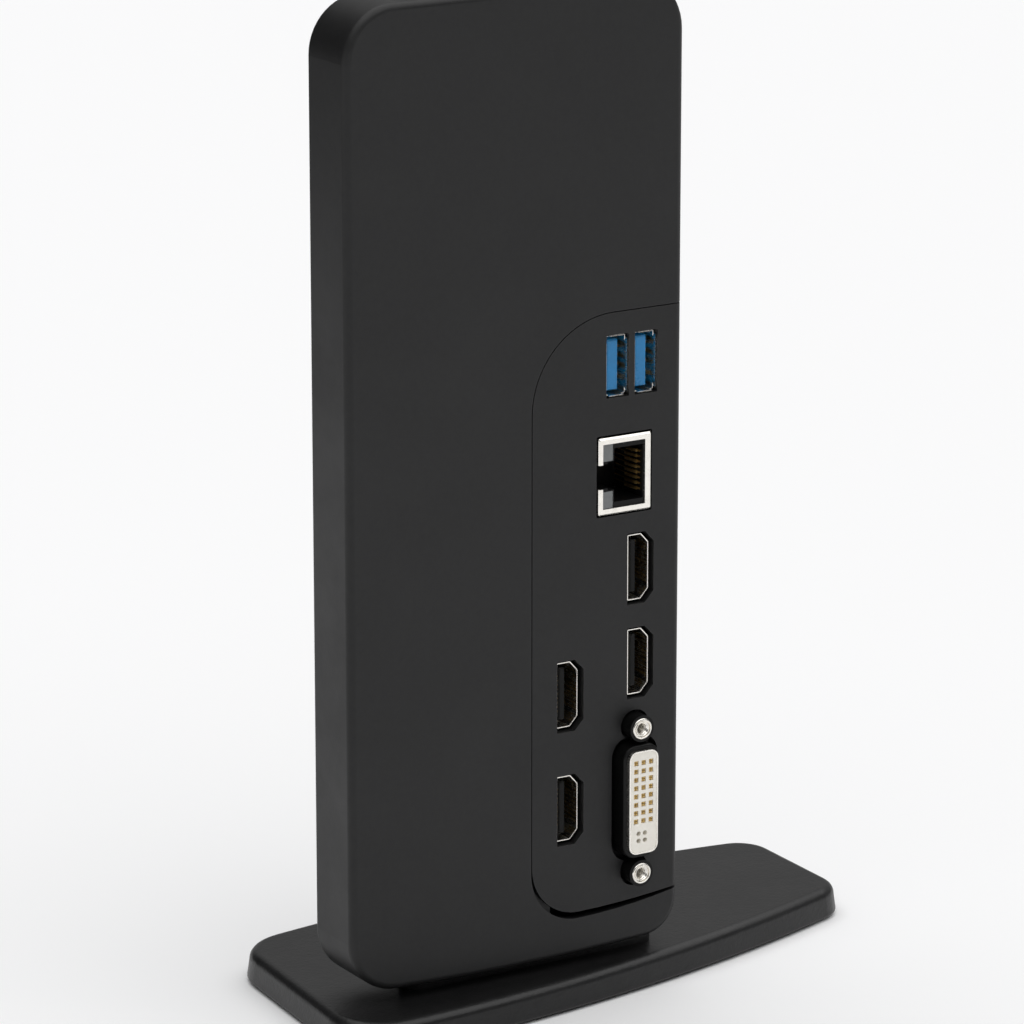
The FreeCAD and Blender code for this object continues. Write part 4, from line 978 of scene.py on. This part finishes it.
# ---------------------------------------------------------------- stage
class DOCK_OT_stage(bpy.types.Operator):
    """Lay the floor, hang the lights and set up the camera"""
    bl_idname = "dock.stage"
    bl_label = "Stage"

    FLOOR_RADIUS = 12.0
    LIGHT_TRAVEL = (-0.12, 0.16, -1.0)
    FLAG_CENTRE = (-0.36, 0.52, 0.0)
    FLAG_SIZE = (0.8, 0.9)
    FLAG_LIFT = 0.03

    def execute(self, context):
        setup = context.scene.dock_stage
        self.lay_floor(setup)
        self.light_surroundings(context, setup)
        self.hang_lights(context, setup)
        self.stand_flag()
        self.place_camera(context, setup)
        context.scene.view_settings.view_transform = "Standard"
        return {"FINISHED"}

    def lay_floor(self, setup):
        bm = bmesh.new()
        bmesh.ops.create_circle(bm, cap_ends=True, radius=self.FLOOR_RADIUS, segments=96)
        mesh = bpy.data.meshes.new("floor")
        bm.to_mesh(mesh)
        bm.free()
        floor = bpy.data.objects.new("floor", mesh)
        bpy.context.scene.collection.objects.link(floor)
        material, graph, shader = start_material("floor_paper")
        tooth = graph.noise(graph.object_place(), 700.0, 3.0, 0.6)
        shaded = [channel * 0.995 for channel in setup.floor_colour]
        graph.feed(shader.inputs["Base Color"], graph.blend(tooth, shaded, setup.floor_colour))
        shader.inputs["Roughness"].default_value = 0.9
        shader.inputs["Specular IOR Level"].default_value = 0.0
        mesh.materials.append(material)

    def light_surroundings(self, context, setup):
        """A dim room on the port side that brightens towards the backdrop."""
        world = bpy.data.worlds.new("studio_room")
        context.scene.world = world
        world.use_nodes = True
        graph = Graph(world.node_tree)
        direction = graph.add("TexCoord").outputs["Generated"]
        depth = graph.add("SeparateXYZ", {"Vector": direction}).outputs["Y"]
        strength = graph.between(depth, -1.0, 1.0, setup.room_ahead, setup.room_behind)
        graph.feed(world.node_tree.nodes["Background"].inputs["Strength"], strength)
        world.node_tree.nodes["Background"].inputs["Color"].default_value = (1.0, 1.0, 1.0, 1.0)

    def hang_lights(self, context, setup):
        data = bpy.data.lights.new("overhead_light", "SUN")
        data.energy = setup.overhead
        data.angle = setup.overhead_spread
        light = bpy.data.objects.new("overhead_light", data)
        context.scene.collection.objects.link(light)
        light.rotation_euler = Vector(self.LIGHT_TRAVEL).to_track_quat("-Z", "Y").to_euler()

    def stand_flag(self):
        """A black card beyond the left narrow side, seen only in reflections."""
        bm = bmesh.new()
        centre = Vector(self.FLAG_CENTRE)
        across = Vector((centre.y, -centre.x, 0.0)).normalized() * self.FLAG_SIZE[0] / 2.0
        low = Vector((0.0, 0.0, self.FLAG_LIFT))
        high = Vector((0.0, 0.0, self.FLAG_LIFT + self.FLAG_SIZE[1]))
        corners = [centre - across + low, centre + across + low, centre + across + high,
                   centre - across + high]
        bm.faces.new([bm.verts.new(corner) for corner in corners])
        mesh = bpy.data.meshes.new("reflection_flag")
        bm.to_mesh(mesh)
        bm.free()
        flag = bpy.data.objects.new("reflection_flag", mesh)
        bpy.context.scene.collection.objects.link(flag)
        material, graph, shader = start_material("flag_felt")
        nap = graph.noise(graph.object_place(), 900.0, 3.0, 0.6)
        felt = graph.blend(nap, (0.010, 0.010, 0.010), (0.018, 0.018, 0.018))
        graph.feed(shader.inputs["Base Color"], felt)
        shader.inputs["Roughness"].default_value = 0.95
        mesh.materials.append(material)
        flag.visible_camera = False
        flag.visible_diffuse = False
        flag.visible_shadow = False
        flag.visible_transmission = False

    def place_camera(self, context, setup):
        data = bpy.data.cameras.new("camera")
        data.lens = setup.lens
        data.sensor_width = 36.0
        data.clip_start = 0.05
        data.clip_end = 60.0
        camera = bpy.data.objects.new("camera", data)
        context.scene.collection.objects.link(camera)
        flat = math.cos(setup.elevation)
        away = Vector((math.sin(setup.azimuth) * flat, -math.cos(setup.azimuth) * flat,
                       math.sin(setup.elevation)))
        camera.location = Vector(setup.target) + away * setup.distance
        camera.rotation_euler = (-away).to_track_quat("-Z", "Y").to_euler()
        context.scene.camera = camera


# ---------------------------------------------------------------- panel and run
BUILD_ORDER = [
    DOCK_OT_tower,
    DOCK_OT_base,
    DOCK_OT_usb_sockets,
    DOCK_OT_hdmi_sockets,
    DOCK_OT_network_socket,
    DOCK_OT_dvi_socket,
    DOCK_OT_side_sockets,
    DOCK_OT_power_button,
    DOCK_OT_fasteners,
    DOCK_OT_electronics,
    DOCK_OT_stage,
]
SETTINGS = {
    "dock_housing": DockHousingFinish,
    "dock_sockets": DockSocketFinish,
    "dock_stage": DockStageSetup,
}


class DOCK_PT_builder(bpy.types.Panel):
    """Sizes, colours and build steps of the docking station"""
    bl_idname = "DOCK_PT_builder"
    bl_label = "Docking Station"
    bl_space_type = "VIEW_3D"
    bl_region_type = "UI"
    bl_category = "Dock"

    def draw(self, context):
        layout = self.layout
        for setting, group in SETTINGS.items():
            box = layout.box()
            box.label(text=group.__doc__)
            for key in group.__annotations__:
                box.prop(getattr(context.scene, setting), key)
        for operator in BUILD_ORDER:
            layout.operator(operator.bl_idname)


def register():
    for group in SETTINGS.values():
        bpy.utils.register_class(group)
    for setting, group in SETTINGS.items():
        setattr(bpy.types.Scene, setting, PointerProperty(type=group))
    for operator in BUILD_ORDER:
        bpy.utils.register_class(operator)
    bpy.utils.register_class(DOCK_PT_builder)


def unregister():
    bpy.utils.unregister_class(DOCK_PT_builder)
    for operator in reversed(BUILD_ORDER):
        bpy.utils.unregister_class(operator)
    for setting in SETTINGS:
        delattr(bpy.types.Scene, setting)
    for group in SETTINGS.values():
        bpy.utils.unregister_class(group)


def main():
    register()
    for operator in BUILD_ORDER:
        family, action = operator.bl_idname.split(".")
        getattr(getattr(bpy.ops, family), action)()


if __name__ == "__main__":
    main()
